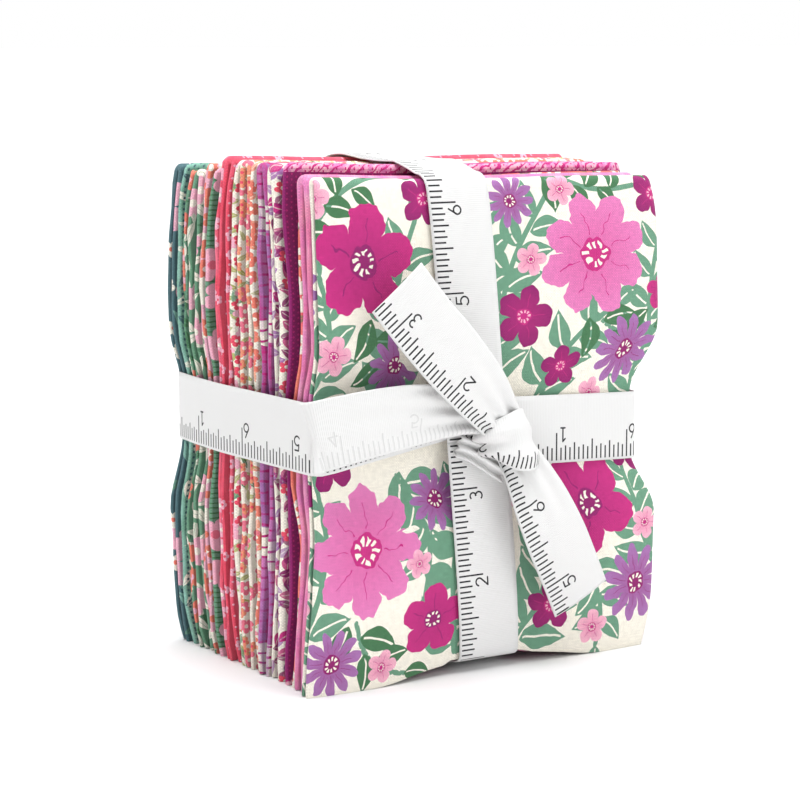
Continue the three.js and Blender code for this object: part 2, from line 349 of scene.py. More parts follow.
SOCKETS = {"f": "NodeSocketFloat", "v": "NodeSocketVector"}


def shared_group(name, inputs, outputs):
    """A new node group with named sockets: its nodes, its inputs, and what gives its outputs."""
    tree = bpy.data.node_groups.new(name, "ShaderNodeTree")
    for direction, sockets in (("INPUT", inputs), ("OUTPUT", outputs)):
        for label, kind in sockets.items():
            tree.interface.new_socket(label, in_out=direction, socket_type=SOCKETS[kind])
    nodes = Nodes(tree)
    source, made = nodes.add("NodeGroupInput"), nodes.add("NodeGroupOutput")

    def give(*values):
        for label, value in zip(outputs, values):
            nodes.feed(made.inputs[label], value)
        return tree

    return nodes, [Value(nodes, source.outputs[label]) for label in inputs], give


def scatter_group(name):
    """Places tossed over the cloth: offset from the nearest one, turned at random, in cells."""
    nodes, (flat, cell, scatter, seed), give = shared_group(
        name,
        {"Flat": "v", "Cell": "f", "Scatter": "f", "Seed": "f"},
        {"Offset": "v", "Pick": "f", "Shade": "f"},
    )
    moved = nodes.vector("ADD", nodes.scaled(flat, 1 / cell), nodes.joined(seed, seed))
    settings = {"voronoi_dimensions": "2D", "feature": "F1"}
    toss = nodes.add(
        "ShaderNodeTexVoronoi", settings, Vector=moved, Scale=1, Randomness=scatter
    ).outputs
    away = nodes.vector("SUBTRACT", moved, toss["Position"])
    chance = nodes.add("ShaderNodeSeparateColor", Color=toss["Color"]).outputs
    angle = Value(nodes, chance[0]) * math.tau
    return give(nodes.turned(away, angle), chance[1], chance[2])


# A blossom, in shares of its radius: its petals' roundness, half the width of a vein and the
# middle and half length of it, its eye, and the middle, half width and number of its seeds.
PETAL_ROUND = 0.6
VEIN_HALF, VEIN_MIDDLE, VEIN_REACH = 0.03, 0.52, 0.2
EYE = 0.27
SEED_MIDDLE, SEED_REACH, SEEDS = 0.17, 0.05, 9


def petal_group(name):
    """A ring of petals round an offset: the petals, their veins, the eye and its seeds."""
    nodes, (offset, radius, petals, cut), give = shared_group(
        name,
        {"Offset": "v", "Radius": "f", "Petals": "f", "Cut": "f"},
        {"Petals": "f", "Veins": "f", "Eye": "f", "Seeds": "f", "Depth": "f"},
    )
    x, y, _ = nodes.parts(offset)
    far = nodes.size(offset) / radius
    angle = nodes.math("ARCTAN2", y, x)
    phase = angle * (petals * 0.5)
    notch = 1 - abs(nodes.math("COSINE", phase)) ** PETAL_ROUND
    beside = nodes.math("SINE", phase) * far
    veins = (abs(beside) < VEIN_HALF) * nodes.math("COMPARE", far, VEIN_MIDDLE, VEIN_REACH)
    spin = nodes.math("COSINE", angle * SEEDS)
    seeds = nodes.math("COMPARE", far, SEED_MIDDLE, SEED_REACH) * (spin > 0)
    return give(far < 1 - notch * cut, veins, far < EYE, seeds, (1 - far).clamped())


# A leaf: how it leans to its foot and bows, its rib's half width and how far the rib runs.
LEAF_LEAN, LEAF_BOW, RIB_HALF, RIB_RUN = 0.35, 0.35, 0.09, 0.8


def leaf_group(name):
    """A pointed leaf along x, centred on the offset: its blade and its rib."""
    nodes, (offset, long, wide), give = shared_group(
        name, {"Offset": "v", "Length": "f", "Width": "f"}, {"Blade": "f", "Rib": "f"}
    )
    x, y, _ = nodes.parts(offset)
    along = x / long
    taper = 1 - along * along
    half = taper * (1 - along * LEAF_LEAN) * wide
    side = abs(y - taper * LEAF_BOW * wide)
    return give(side < half, (side < wide * RIB_HALF) * (abs(along) < RIB_RUN))


def spot_group(name):
    """Rows of round spots, every second row shifted by half a pitch."""
    nodes, (flat, pitch, radius), give = shared_group(
        name, {"Flat": "v", "Pitch": "f", "Radius": "f"}, {"Spots": "f"}
    )
    x, y, _ = nodes.parts(nodes.scaled(flat, 1 / pitch))
    row = nodes.math("FLOOR", y) % 2
    across = nodes.math("FRACT", x + row * 0.5) - 0.5
    up = nodes.math("FRACT", y) - 0.5
    return give(nodes.size(nodes.joined(across, up)) < radius)


def stripe_group(name):
    """Stripes along a turned direction, with edges that waver."""
    nodes, (flat, pitch, turn, share, waver), give = shared_group(
        name,
        {"Flat": "v", "Pitch": "f", "Turn": "f", "Share": "f", "Waver": "f"},
        {"Stripes": "f"},
    )
    pitches = nodes.scaled(nodes.turned(flat, turn), 1 / pitch)
    wave = nodes.cloud(pitches, 0.7, 1) - 0.5
    run = nodes.parts(pitches)[0] + wave * waver
    return give(nodes.math("FRACT", run) < share)


# Where the marl's noise starts to show, and how steeply.
MARL_START, MARL_GAIN = 0.4, 4


def marl_group(name):
    """Cloudy brush marks drawn out along the cloth, from nought to one."""
    nodes, (flat, size, stretch), give = shared_group(
        name, {"Flat": "v", "Size": "f", "Stretch": "f"}, {"Marl": "f"}
    )
    x, y, _ = nodes.parts(nodes.scaled(flat, 1 / size))
    cloud = nodes.cloud(nodes.joined(x / stretch, y), 1, 3)
    return give(((cloud - MARL_START) * MARL_GAIN).clamped())


# The weave's painted shade between its threads, what height and a thread on top add to it as
# painted light, how many threads long a slub is, and how far it takes the tone from one.
WEAVE_LOW, WEAVE_RISE, WEAVE_OVER = 0.76, 0.2, 0.13
SLUB_THREADS = 5
SLUB_TONE = 0.36


def weave_group(name):
    """A plain weave: a tone a little under one, with painted shade between its threads and painted
    light on their tops, that also changes along each thread, and their height."""
    nodes, (flat, thread), give = shared_group(
        name, {"Flat": "v", "Thread": "f"}, {"Tone": "f", "Height": "f"}
    )
    x, y, _ = nodes.parts(nodes.scaled(flat, math.pi / thread))
    warp, weft = nodes.math("SINE", x), nodes.math("SINE", y)
    over = warp * weft > 0
    height = abs(warp) * over + abs(weft) * (1 - over)
    # Painted light and shade of the threads' relief: higher threads and threads on top are
    # lighter.
    tone = over * WEAVE_OVER + (height * WEAVE_RISE + WEAVE_LOW)
    long = math.pi * SLUB_THREADS
    up, down = (
        nodes.cloud(nodes.joined(across / math.pi, along / long), 1, 0)
        for across, along in ((x, y), (y, x))
    )
    slub = over * (up - down) + down
    return give(tone * (slub * SLUB_TONE + (1 - SLUB_TONE / 2)), height)


def line_group(name):
    """A printed line between two points: one within half its width of it."""
    nodes, (place, start, end, half), give = shared_group(
        name, {"Place": "v", "From": "v", "To": "v", "Half Width": "f"}, {"Line": "f"}
    )
    off, whole = nodes.vector("SUBTRACT", place, start), nodes.vector("SUBTRACT", end, start)
    share = (nodes.dot(off, whole) / nodes.dot(whole, whole)).clamped()
    return give(nodes.size(nodes.vector("SUBTRACT", off, nodes.scaled(whole, share))) < half)


def arc_group(name):
    """A printed arc about a centre, open where the direction leaves its facing side."""
    vectors = dict.fromkeys(("Place", "Centre", "Facing"), "v")
    numbers = dict.fromkeys(("Reach", "Radius", "Half Width"), "f")
    nodes, (place, centre, facing, reach, radius, half), give = shared_group(
        name, {**vectors, **numbers}, {"Arc": "f"}
    )
    away = nodes.vector("SUBTRACT", place, centre)
    far = nodes.size(away)
    return give((abs(far - radius) < half) * (nodes.dot(away, facing) / far > reach))


GROUP_MAKERS = {
    "Tossed Places": scatter_group,
    "Petal Ring": petal_group,
    "Leaf Blade": leaf_group,
    "Spot Rows": spot_group,
    "Wavering Stripes": stripe_group,
    "Brushed Marl": marl_group,
    "Cotton Weave": weave_group,
    "Printed Line": line_group,
    "Printed Arc": arc_group,
}


def group_named(name):
    """A shared group, made the first time it is asked for."""
    return bpy.data.node_groups.get(name) or GROUP_MAKERS[name](name)


def dye(name):
    """A dye of the bundle's palette with its alpha."""
    return (*getattr(bpy.context.scene.bundle_colours, name), 1)


# Each print: its ground, then its layers from the ground up. Sizes are in millimetres.
# bloom: dye, eye, cell, radius in cells, petals, cut, share of the places, seed
# leaf: dye, cell, length and width in cells, share of the places, seed
# spot: dye, pitch, radius in pitches; stripe: dye, pitch, turn, share, waver
# marl: dye, size, stretch, strength
PRINTS = {
    "pink_marl": ("pink", [
        ("marl", "blush", 3.4, 2.2, 0.55),
        ("marl", "rose", 6.5, 2, 0.45),
    ]),
    "coral_leaf": ("coral", [
        ("marl", "red", 6, 2, 0.6),
        ("leaf", "forest", 9, 0.46, 0.2, 0.6, 3.3),
        ("bloom", "cream", "coral", 8, 0.36, 5, 0.5, 0.6, 7.1),
    ]),
    "plum_dot": ("blush", [
        ("marl", "pink", 2.4, 3, 1),
        ("stripe", "magenta", 2.3, 0.6, 0.25, 1.2),
        ("stripe", "plum", 149.5, 0, 0.95, 0),
        ("spot", "magenta", 1.5, 0.2),
    ]),
    "berry_leaf": ("cream", [
        ("leaf", "lavender", 5, 0.46, 0.22, 0.8, 1.7),
        ("leaf", "magenta", 5.4, 0.46, 0.25, 0.85, 5.2),
        ("leaf", "plum", 4.8, 0.44, 0.23, 0.75, 9.4),
        ("bloom", "red", "cream", 7, 0.28, 5, 0.5, 0.55, 2.8),
    ]),
    "lilac_stripe": ("lavender", [
        ("marl", "magenta", 2.6, 9, 0.9),
        ("marl", "pink", 3.3, 12, 0.8),
        ("stripe", "cream", 31, 0, 0.3, 0.5),
        ("stripe", "magenta", 3.1, 0, 0.22, 0.4),
        ("marl", "lavender", 1.7, 16, 0.7),
    ]),
    "orange_sprig": ("cream", [
        ("leaf", "orange", 3.7, 0.5, 0.2, 0.8, 2.1),
        ("leaf", "olive", 4.6, 0.46, 0.16, 0.6, 6.6),
        ("bloom", "coral", "cream", 5.2, 0.42, 5, 0.45, 0.7, 8.8),
        ("leaf", "rose", 4.2, 0.4, 0.16, 0.45, 4.4),
    ]),
    "poppy_ditsy": ("cream", [
        ("leaf", "olive", 3.8, 0.48, 0.17, 0.7, 1.2),
        ("leaf", "forest", 5.6, 0.4, 0.1, 0.4, 7.2),
        ("bloom", "rose", "cream", 4.8, 0.46, 5, 0.4, 0.75, 3.6),
        ("bloom", "orange", "red", 4.2, 0.38, 5, 0.45, 0.5, 11.3),
    ]),
    "olive_bud": ("cream", [
        ("leaf", "olive", 4, 0.5, 0.19, 0.8, 4.9),
        ("leaf", "moss", 5.2, 0.4, 0.13, 0.45, 3.8),
        ("bloom", "blush", "rose", 5, 0.42, 5, 0.4, 0.65, 1.5),
        ("bloom", "red", "cream", 5.4, 0.32, 5, 0.4, 0.6, 9.9),
    ]),
    "red_spot": ("red", [
        ("marl", "rose", 6, 2, 0.35),
        ("bloom", "blush", "red", 5.4, 0.27, 5, 0.4, 0.6, 2.4),
        ("spot", "blush", 3.4, 0.09),
    ]),
    "rose_spot": ("red", [
        ("marl", "rose", 5, 3, 0.8),
        ("bloom", "blush", "cream", 6.8, 0.34, 5, 0.5, 0.6, 6.1),
        ("spot", "cream", 4.4, 0.09),
    ]),
    "green_rib": ("sage", [
        ("stripe", "forest", 1.5, 0, 0.3, 0.3),
        ("bloom", "blush", "rose", 12, 0.42, 5, 0.4, 0.7, 3.7),
    ]),
    "coral_bloom": ("cream", [
        ("leaf", "forest", 7, 0.52, 0.24, 0.8, 5.8),
        ("bloom", "blush", "coral", 9, 0.46, 5, 0.35, 0.7, 1.1),
        ("bloom", "coral", "cream", 7.5, 0.4, 6, 0.4, 0.7, 7.7),
    ]),
    "leaf_spray": ("moss", [
        ("leaf", "sage", 9, 0.5, 0.24, 0.8, 8.3),
        ("leaf", "forest", 6.4, 0.52, 0.14, 0.6, 5.1),
        ("leaf", "cream", 6.6, 0.62, 0.17, 0.95, 2.2),
        ("bloom", "blush", "cream", 15, 0.3, 5, 0.4, 0.5, 4.1),
    ]),
    "mint_leaf": ("sage", [
        ("leaf", "forest", 6, 0.54, 0.2, 0.85, 6.4),
        ("leaf", "cream", 5.4, 0.56, 0.2, 0.9, 1.9),
        ("bloom", "coral", "blush", 10, 0.36, 5, 0.4, 0.55, 3.2),
    ]),
    "mint_dot": ("mint", [
        ("marl", "sage", 4, 2, 0.6),
        ("leaf", "cream", 7, 0.5, 0.14, 0.5, 4.7),
        ("spot", "teal", 1.7, 0.24),
        ("leaf", "teal", 9, 0.46, 0.14, 0.5, 7.5),
    ]),
    "teal_floral": ("teal", [
        ("leaf", "mint", 21, 0.46, 0.13, 0.7, 3.9),
        ("leaf", "sage", 17, 0.44, 0.12, 0.7, 8.6),
        ("bloom", "blush", "rose", 27, 0.42, 6, 0.45, 0.8, 1.4),
        ("bloom", "lavender", "cream", 19, 0.28, 9, 0.6, 0.4, 5.5),
        ("bloom", "cream", "coral", 12, 0.22, 5, 0.4, 0.35, 9.1),
    ]),
}


BLOOM_SCATTER, LEAF_SCATTER = 0.6, 0.65


def lay_bloom(nodes, flat, ground, tint, eye, cell, radius, petals, cut, share, seed):
    """Tossed blossoms with an eye."""
    place = nodes.group(
        "Tossed Places", Flat=flat, Cell=cell * MM, Scatter=BLOOM_SCATTER, Seed=seed
    )
    ring = nodes.group(
        "Petal Ring", Offset=place["Offset"], Radius=radius, Petals=petals, Cut=cut
    )
    kept = place["Pick"] < share
    blossom = nodes.mix(ring["Petals"] * kept, ground, dye(tint))
    return nodes.mix(ring["Eye"] * kept, blossom, dye(eye))


def lay_leaf(nodes, flat, ground, tint, cell, long, wide, share, seed):
    """Tossed leaves, some a little deeper in tone."""
    place = nodes.group(
        "Tossed Places", Flat=flat, Cell=cell * MM, Scatter=LEAF_SCATTER, Seed=seed
    )
    leaf = nodes.group("Leaf Blade", Offset=place["Offset"], Length=long, Width=wide)
    mask = leaf["Blade"] * (place["Pick"] < share) * (1 - leaf["Rib"] * 0.6)
    return nodes.mix(mask * (place["Shade"] * 0.25 + 0.75), ground, dye(tint))


def lay_spot(nodes, flat, ground, tint, pitch, radius):
    """Rows of spots."""
    mask = nodes.group("Spot Rows", Flat=flat, Pitch=pitch * MM, Radius=radius)["Spots"]
    return nodes.mix(mask, ground, dye(tint))


def lay_stripe(nodes, flat, ground, tint, pitch, turn, share, waver):
    """Wavering stripes."""
    mask = nodes.group(
        "Wavering Stripes", Flat=flat, Pitch=pitch * MM, Turn=turn, Share=share, Waver=waver
    )["Stripes"]
    return nodes.mix(mask, ground, dye(tint))


def lay_marl(nodes, flat, ground, tint, size, stretch, strength):
    """Brushed marl over the ground."""
    mask = nodes.group("Brushed Marl", Flat=flat, Size=size * MM, Stretch=stretch)["Marl"]
    return nodes.mix(mask * strength, ground, dye(tint))


LAYERS = {
    "bloom": lay_bloom,
    "leaf": lay_leaf,
    "spot": lay_spot,
    "stripe": lay_stripe,
    "marl": lay_marl,
}


def cloth_material(name, roughness):
    """An empty cloth material: its nodes, its shader's sockets and the cloth's flat place."""
    material = bpy.data.materials.new(name)
    material.use_nodes = True
    nodes = Nodes(material.node_tree)
    shader = material.node_tree.nodes["Principled BSDF"].inputs
    shader["Roughness"].default_value = roughness
    shader["Specular IOR Level"].default_value = 0.25
    return material, nodes, shader, nodes.result("ShaderNodeUVMap", {"uv_map": "flat"})


def surfaced(nodes, shader, ground, tone, strength, distance, height):
    """A toned colour and a bump into the shader."""
    nodes.feed(shader["Base Color"], nodes.mix(1, ground, tone, "MULTIPLY"))
    bump = nodes.result(
        "ShaderNodeBump", Strength=strength, Distance=distance, Height=height
    )
    nodes.feed(shader["Normal"], bump)


# How deep the painted shade makes the cloth's tone in the creases between folds, against one on
# their crowns.
PAINTED_CREASE_SHADE = 0.68
THREAD_BUMP, THREAD_HEIGHT = 0.35, 0.00012


def woven(nodes, shader, flat, ground):
    """The weave's tone on the print, with painted shade in the creases, and its threads in the
    light.
    """
    thread = bpy.context.scene.bundle_cloth.thread
    weave = nodes.group("Cotton Weave", Flat=flat, Thread=thread)
    # Painted shade: the tone falls in the creases between folds, where the crown attribute is low.
    crease_shade = nodes.attribute("crown") * (1 - PAINTED_CREASE_SHADE) + PAINTED_CREASE_SHADE
    tone = weave["Tone"] * crease_shade
    surfaced(nodes, shader, ground, tone, THREAD_BUMP, THREAD_HEIGHT, weave["Height"])
    shader["Sheen Weight"].default_value = 0.08
    shader["Sheen Roughness"].default_value = 0.5


def printed_cotton(name):
    """The right side of a printed quarter."""
    ground, layers = PRINTS[name]
    material, nodes, shader, flat = cloth_material(f"{name}_print", 0.85)
    shade = dye(ground)
    for kind, *values in layers:
        shade = LAYERS[kind](nodes, flat, shade, *values)
    woven(nodes, shader, flat, shade)
    return material


def reverse_cotton(name, ground):
    """The wrong side of a quarter, where the print only shows through."""
    material, nodes, shader, flat = cloth_material(f"{name}_reverse", 0.9)
    cloud = nodes.group("Brushed Marl", Flat=flat, Size=0.006, Stretch=1)["Marl"]
    pale = tuple(0.45 + 0.5 * part for part in dye(ground)[:3])
    woven(nodes, shader, flat, nodes.mix(cloud * 0.3, (*pale, 1), dye(ground)))
    return material


# The front print, laid out on the face in millimetres. Blossoms: x, z, radius, turn in
# degrees and kind. Sprigs: x and z of the foot and the tip, bow of the stem, pairs of leaves,
# length and half width of a leaf and kind.
BLOOM_KINDS = (
    ("magenta", "plum", "cream", 5, 0.42),
    ("pink", "magenta", "cream", 8, 0.36),
    ("lavender", "plum", "cream", 11, 0.62),
    ("plum", "magenta", "blush", 5, 0.5),
    ("blush", "magenta", "cream", 5, 0.45),
)
LEAF_KINDS = ("sage", "forest")
FACE_BLOOMS = (
    (-43, 122, 17, 12, 0), (36, 122, 19, 20, 1), (12, 104, 9.5, 0, 3), (-31, 92, 10, 40, 2),
    (49, 92, 11, 15, 2), (-52, 66, 9, 30, 3), (-22, 140, 8, 8, 3), (59, 140, 8, 0, 3),
    (27, 88, 6.5, 25, 3), (36, 46, 16, 50, 0), (-41, 40, 19, 0, 1), (-15, 52, 9, 18, 2),
    (57, 62, 8, 5, 3), (53, 20, 12, 33, 2), (-17, 16, 11, 12, 0), (23, 15, 8, 20, 3),
    (-51, 9, 10, 10, 2), (7, 139, 8, 33, 2), (2, 30, 6, 0, 3), (61, 109, 6, 12, 0),
    (-54, 96, 6, 0, 4), (-24, 108, 4.5, 20, 4), (14, 121, 5, 5, 4), (40, 79, 5, 0, 4),
    (-22, 34, 4.5, 30, 4), (10, 52, 6, 12, 4), (56, 38, 5, 0, 4), (38, 8, 5.5, 20, 4),
    (-34, 6, 5, 0, 4), (-60, 140, 6, 9, 4), (24, 142, 5, 0, 4),
)
FACE_SPRIGS = (
    (-29, 82, -25, 134, 5, 5, 15, 3.9, 0), (-61, 82, -58, 118, -4, 4, 13, 3.4, 0),
    (-62, 128, -30, 147, 6, 3, 12, 3.2, 1), (4, 84, 20, 142, 6, 6, 15, 3.9, 0),
    (22, 78, 44, 106, 5, 3, 14, 3.6, 0), (60, 74, 62, 132, 5, 6, 13, 3.4, 0),
    (20, 147, 52, 143, -3, 3, 11, 3, 1), (36, 104, 58, 98, -4, 2, 12, 3, 1),
    (-60, 18, -58, 62, -4, 4, 13, 3.4, 0), (-28, 60, -20, 24, 5, 4, 15, 3.9, 0),
    (-44, 20, -26, 2, -4, 2, 13, 3.4, 1), (-8, 2, -2, 62, 5, 6, 14, 3.6, 0),
    (12, 4, 20, 44, -5, 4, 15, 3.9, 0), (34, 28, 40, 2, 3, 3, 13, 3.4, 0),
    (60, 26, 54, 60, 4, 4, 13, 3.4, 0), (18, 62, 30, 66, 2, 2, 11, 3, 1),
    (-42, 104, -38, 76, 3, 2, 13, 3.4, 1), (-6, 92, -4, 146, -4, 5, 14, 3.6, 0),
)
# A motif's colour holds this far past its edge, so that each point knows its whole motif.
MOTIF_MARGIN = 1.8
NO_KIND = -5
SAME_KIND = 0.3
HAND_WAVER = 0.16
STALK_HALF = 0.85
FACE_PERIOD = (152, 170)
FACE_LOW = (-76, -10)


def heading(ax, az, bx, bz):
    """How long the way from one place to another is, and its direction."""
    run = math.hypot(bx - ax, bz - az)
    return run, (bx - ax) / run, (bz - az) / run


def sprig_leaves():
    """The leaves of every sprig: x and z of the base, length, half width, direction, kind."""
    leaves = []
    for ax, az, bx, bz, bow, pairs, long, wide, kind in FACE_SPRIGS:
        run, ux, uz = heading(ax, az, bx, bz)
        for node in range(pairs + 1):
            t = (node + 0.4) / (pairs + 0.4)
            aside = bow * math.sin(math.pi * t)
            x, z = ax + (bx - ax) * t - uz * aside, az + (bz - az) * t + ux * aside
            lean = math.atan2(bow * math.pi * math.cos(math.pi * t), run)
            ahead = math.degrees(math.atan2(uz, ux) + lean)
            size = 1.1 - 0.35 * t
            turns = (0,) if node == pairs else (48, -52)
            for k, turn in enumerate(turns):
                shift = 0.45 * run / pairs * (k == 1)
                leaves.append(
                    (x - ux * shift, z - uz * shift, long * size, wide * size, ahead + turn, kind)
                )
    return leaves


def motif_places(x, z):
    """Each blossom and leaf as its local offsets, how far past its edge a point lies, and kind."""
    blooms, leaves = [], []
    for cx, cz, radius, turn, kind in FACE_BLOOMS:
        a = math.radians(turn)
        dx, dz = (x - cx) / radius, (z - cz) / radius
        local = dx * math.cos(a) + dz * math.sin(a), dz * math.cos(a) - dx * math.sin(a)
        blooms.append((*local, (np.hypot(dx, dz) - 1) * radius, kind))
    for bx, bz, long, wide, turn, kind in sprig_leaves():
        a = math.radians(turn)
        along = ((x - bx) * math.cos(a) + (z - bz) * math.sin(a)) / (long / 2) - 1
        across = ((z - bz) * math.cos(a) - (x - bx) * math.sin(a)) / wide
        past = np.hypot(
            np.maximum(0, np.abs(along) - 1) * long / 2,
            np.maximum(0, np.abs(across - 0.2) - 1.1) * wide,
        )
        leaves.append((along, across, past, kind))
    return blooms, leaves


def motif_layers(places):
    """The motifs sorted into layers, so that no two of one layer come near each other."""
    layers = []
    for along, across, past, kind in places:
        near = past < MOTIF_MARGIN * 1.7
        for layer in layers:
            if not (layer["near"] & near).any():
                break
        else:
            layer = {
                "near": np.zeros(near.size, bool),
                "local": np.zeros((near.size, 3)),
                "past": np.full(near.size, 1e9),
            }
            layers.append(layer)
        layer["near"] |= near
        mine = past < layer["past"]
        layer["past"][mine] = past[mine]
        layer["local"][mine] = np.stack([along, across, np.full(near.size, kind)], 1)[mine]
    for layer in layers:
        layer["local"][layer["past"] > MOTIF_MARGIN, 2] = NO_KIND
    return [layer["local"] for layer in layers]


def point_attribute(mesh, name, values):
    """Writes a number or a vector for each point of a mesh."""
    kind, key = ("FLOAT", "value") if values.ndim == 1 else ("FLOAT_VECTOR", "vector")
    made = mesh.attributes.new(name, kind, "POINT")
    made.data.foreach_set(key, values.astype(np.float32).ravel())


def face_print_attributes(mesh, x, z):
    """Writes where each point lies in the front print's blossoms, leaves and stems, and tells
    how many layers of each there are."""
    x = (x - FACE_LOW[0]) % FACE_PERIOD[0] + FACE_LOW[0]
    z = (z - FACE_LOW[1]) % FACE_PERIOD[1] + FACE_LOW[1]
    counts = []
    for name, places in zip(("bloom", "leaf"), motif_places(x, z)):
        layers = motif_layers(places)
        counts.append(len(layers))
        for index, local in enumerate(layers):
            point_attribute(mesh, f"{name}_{index}", local)
    stem = np.full(x.size, 9.0)
    for *ends, bow, _, _, _, _ in FACE_SPRIGS:
        ax, az = ends[:2]
        run, ux, uz = heading(*ends)
        along = ((x - ax) * ux + (z - az) * uz) / run
        across = (z - az) * ux - (x - ax) * uz - bow * np.sin(np.pi * np.clip(along, 0, 1))
        past = np.maximum(0, np.abs(along - 0.5) - 0.5) * run
        stem = np.minimum(stem, np.hypot(across, past))
    point_attribute(mesh, "stem", stem)
    return counts


def face_cotton(bloom_layers, leaf_layers):
    """The front quarter's large floral, from its listed blossoms, leaves and stems."""
    material, nodes, shader, flat = cloth_material("cream_floral_print", 0.85)
    hand = nodes.vector("SUBTRACT", nodes.cloud(flat, 260, 1, "Color"), (0.5, 0.5, 0.5))
    drawn = nodes.scaled(hand, HAND_WAVER)

    def motif(name):
        local = nodes.attribute(name, "Vector")
        kind = nodes.parts(local)[2]
        return nodes.vector("MULTIPLY", nodes.vector("ADD", local, drawn), (1, 1, 0)), kind

    shade = nodes.mix(nodes.attribute("stem") < STALK_HALF, dye("cream"), dye("sage"))
    for layer in range(leaf_layers):
        local, kind = motif(f"leaf_{layer}")
        blade = nodes.group("Leaf Blade", Offset=local, Length=1, Width=1)
        whole = blade["Blade"] * (1 - blade["Rib"])
        for index, tint in enumerate(LEAF_KINDS):
            mine = nodes.math("COMPARE", kind, index, SAME_KIND)
            shade = nodes.mix(mine * whole, shade, dye(tint))
    for layer in range(bloom_layers):
        local, kind = motif(f"bloom_{layer}")
        for index, (tint, vein, eye, petals, cut) in enumerate(BLOOM_KINDS):
            ring = nodes.group("Petal Ring", Offset=local, Radius=1, Petals=petals, Cut=cut)
            mine = nodes.math("COMPARE", kind, index, SAME_KIND)
            heart = nodes.mix(ring["Depth"] * 0.45, dye(tint), dye(vein))
            paints = {"Petals": heart, "Veins": dye(vein), "Eye": dye(vein), "Seeds": dye(eye)}
            for part, paint in paints.items():
                shade = nodes.mix(mine * ring[part], shade, paint)
    woven(nodes, shader, flat, shade)
    return material


# The numbers on the ribbon, as lines (from, to) and arcs (centre, radius, facing in degrees,
# half sweep in degrees), in millimetres in a box 2.6 wide and 4 high.
NUMBER_STROKES = {
    1: ((((1.3, 0), (1.3, 4)), ((0.5, 3.2), (1.3, 4)), ((0.6, 0), (2.0, 0))), ()),
    2: ((((2.25, 2.25), (0.2, 0)), ((0.2, 0), (2.5, 0))), (((1.3, 2.85), 1.12, 60, 115),)),
    3: ((), (((1.2, 3.05), 0.95, 25, 118), ((1.2, 1.1), 1.1, -25, 120))),
    4: ((((1.9, 0), (1.9, 4)), ((1.9, 4), (0.1, 1.2)), ((0.1, 1.2), (2.6, 1.2))), ()),
    5: ((((2.3, 4), (0.55, 4)), ((0.55, 4), (0.4, 2.3))), (((1.2, 1.3), 1.28, -10, 142),)),
    6: ((((0.25, 1.6), (1.7, 4)),), (((1.3, 1.2), 1.18, 0, 180),)),
}
# Marks to the inch and how far each kind reaches in from the edge, in millimetres.
MARKS = ((1, 8.8), (2, 6.6), (4, 5.8), (8, 5.0), (16, 4.4))
MARK_MARGIN = 0.7
NUMBER_FOOT = 10.2
NUMBER_SIDE = 3.5


def highest(masks):
    """One where any of the masks is one."""
    most = masks[0]
    for mask in masks[1:]:
        most = most.nodes.math("MAXIMUM", most, mask)
    return most


def ruler_print(nodes, along, inward):
    """Where the ribbon is inked: marks from one edge, with a number by each inch line."""
    sizes = bpy.context.scene.bundle_ribbon
    inch, half = sizes.inch / MM, sizes.line / MM / 2
    inches = along / inch
    marks = []
    for count, reach in MARKS:
        away = nodes.math("FRACT", inches * count + 0.5) - 0.5
        marks.append((abs(away) < half * count / inch) * (inward < reach))
    inked = [highest(marks) * (inward > MARK_MARGIN)]
    last = nodes.math("CEIL", inches)
    place = nodes.joined((inches - last) * inch + NUMBER_SIDE, NUMBER_FOOT - inward)
    turn = nodes.math("FLOORED_MODULO", last, len(NUMBER_STROKES))
    pen = {"Place": place, "Half_Width": half}
    for number, (lines, arcs) in NUMBER_STROKES.items():
        strokes = [
            nodes.group("Printed Line", From=(*start, 0), To=(*end, 0), **pen)["Line"]
            for start, end in lines
        ]
        for centre, radius, facing, sweep in arcs:
            a = math.radians(facing)
            arc = nodes.group(
                "Printed Arc",
                Centre=(*centre, 0),
                Facing=(math.cos(a), math.sin(a), 0),
                Reach=math.cos(math.radians(sweep)) - 0.001,
                Radius=radius,
                **pen,
            )
            strokes.append(arc["Arc"])
        mine = nodes.math("COMPARE", turn, number % len(NUMBER_STROKES), SAME_KIND)
        inked.append(mine * highest(strokes))
    return highest(inked)


# The ribbon's ribs in millimetres, how much painted shade they put in the tone between them, the
# part of its width
# inside the selvages, and its bump: strength, height in metres and how much higher a selvage is.
RIB_PITCH, RIB_TONE = 0.55, 0.02
INSIDE_SELVAGE = 0.47
RIB_BUMP, RIB_HEIGHT, SELVAGE_RISE = 0.4, 0.00008, 1.2


def ribbon_material(name, strength):
    """Ribbed white ribbon with the ruler print at the given strength."""
    material, nodes, shader, flat = cloth_material(name, 0.55)
    along, inward, _ = nodes.parts(nodes.scaled(flat, 1 / MM))
    ribs = nodes.math("SINE", along * (math.tau / RIB_PITCH))
    edge = inward * (MM / bpy.context.scene.bundle_ribbon.width) - 0.5
    mask = ruler_print(nodes, along, inward) * strength
    # The ribs' tone is painted shade, darker between the ribs.
    shade, tone = nodes.mix(mask, dye("ribbon"), dye("ink")), ribs * RIB_TONE + (1 - RIB_TONE)
    height = (abs(edge) > INSIDE_SELVAGE) * SELVAGE_RISE + ribs
    surfaced(nodes, shader, shade, tone, RIB_BUMP, RIB_HEIGHT, height)
    return material


def plateau(distance, half, fade):
    """One within half of the middle, falling softly to nought over the fade."""
    t = np.clip((np.abs(distance) - half) / fade, 0, 1)
    return 0.5 * (1 + np.cos(np.pi * t))


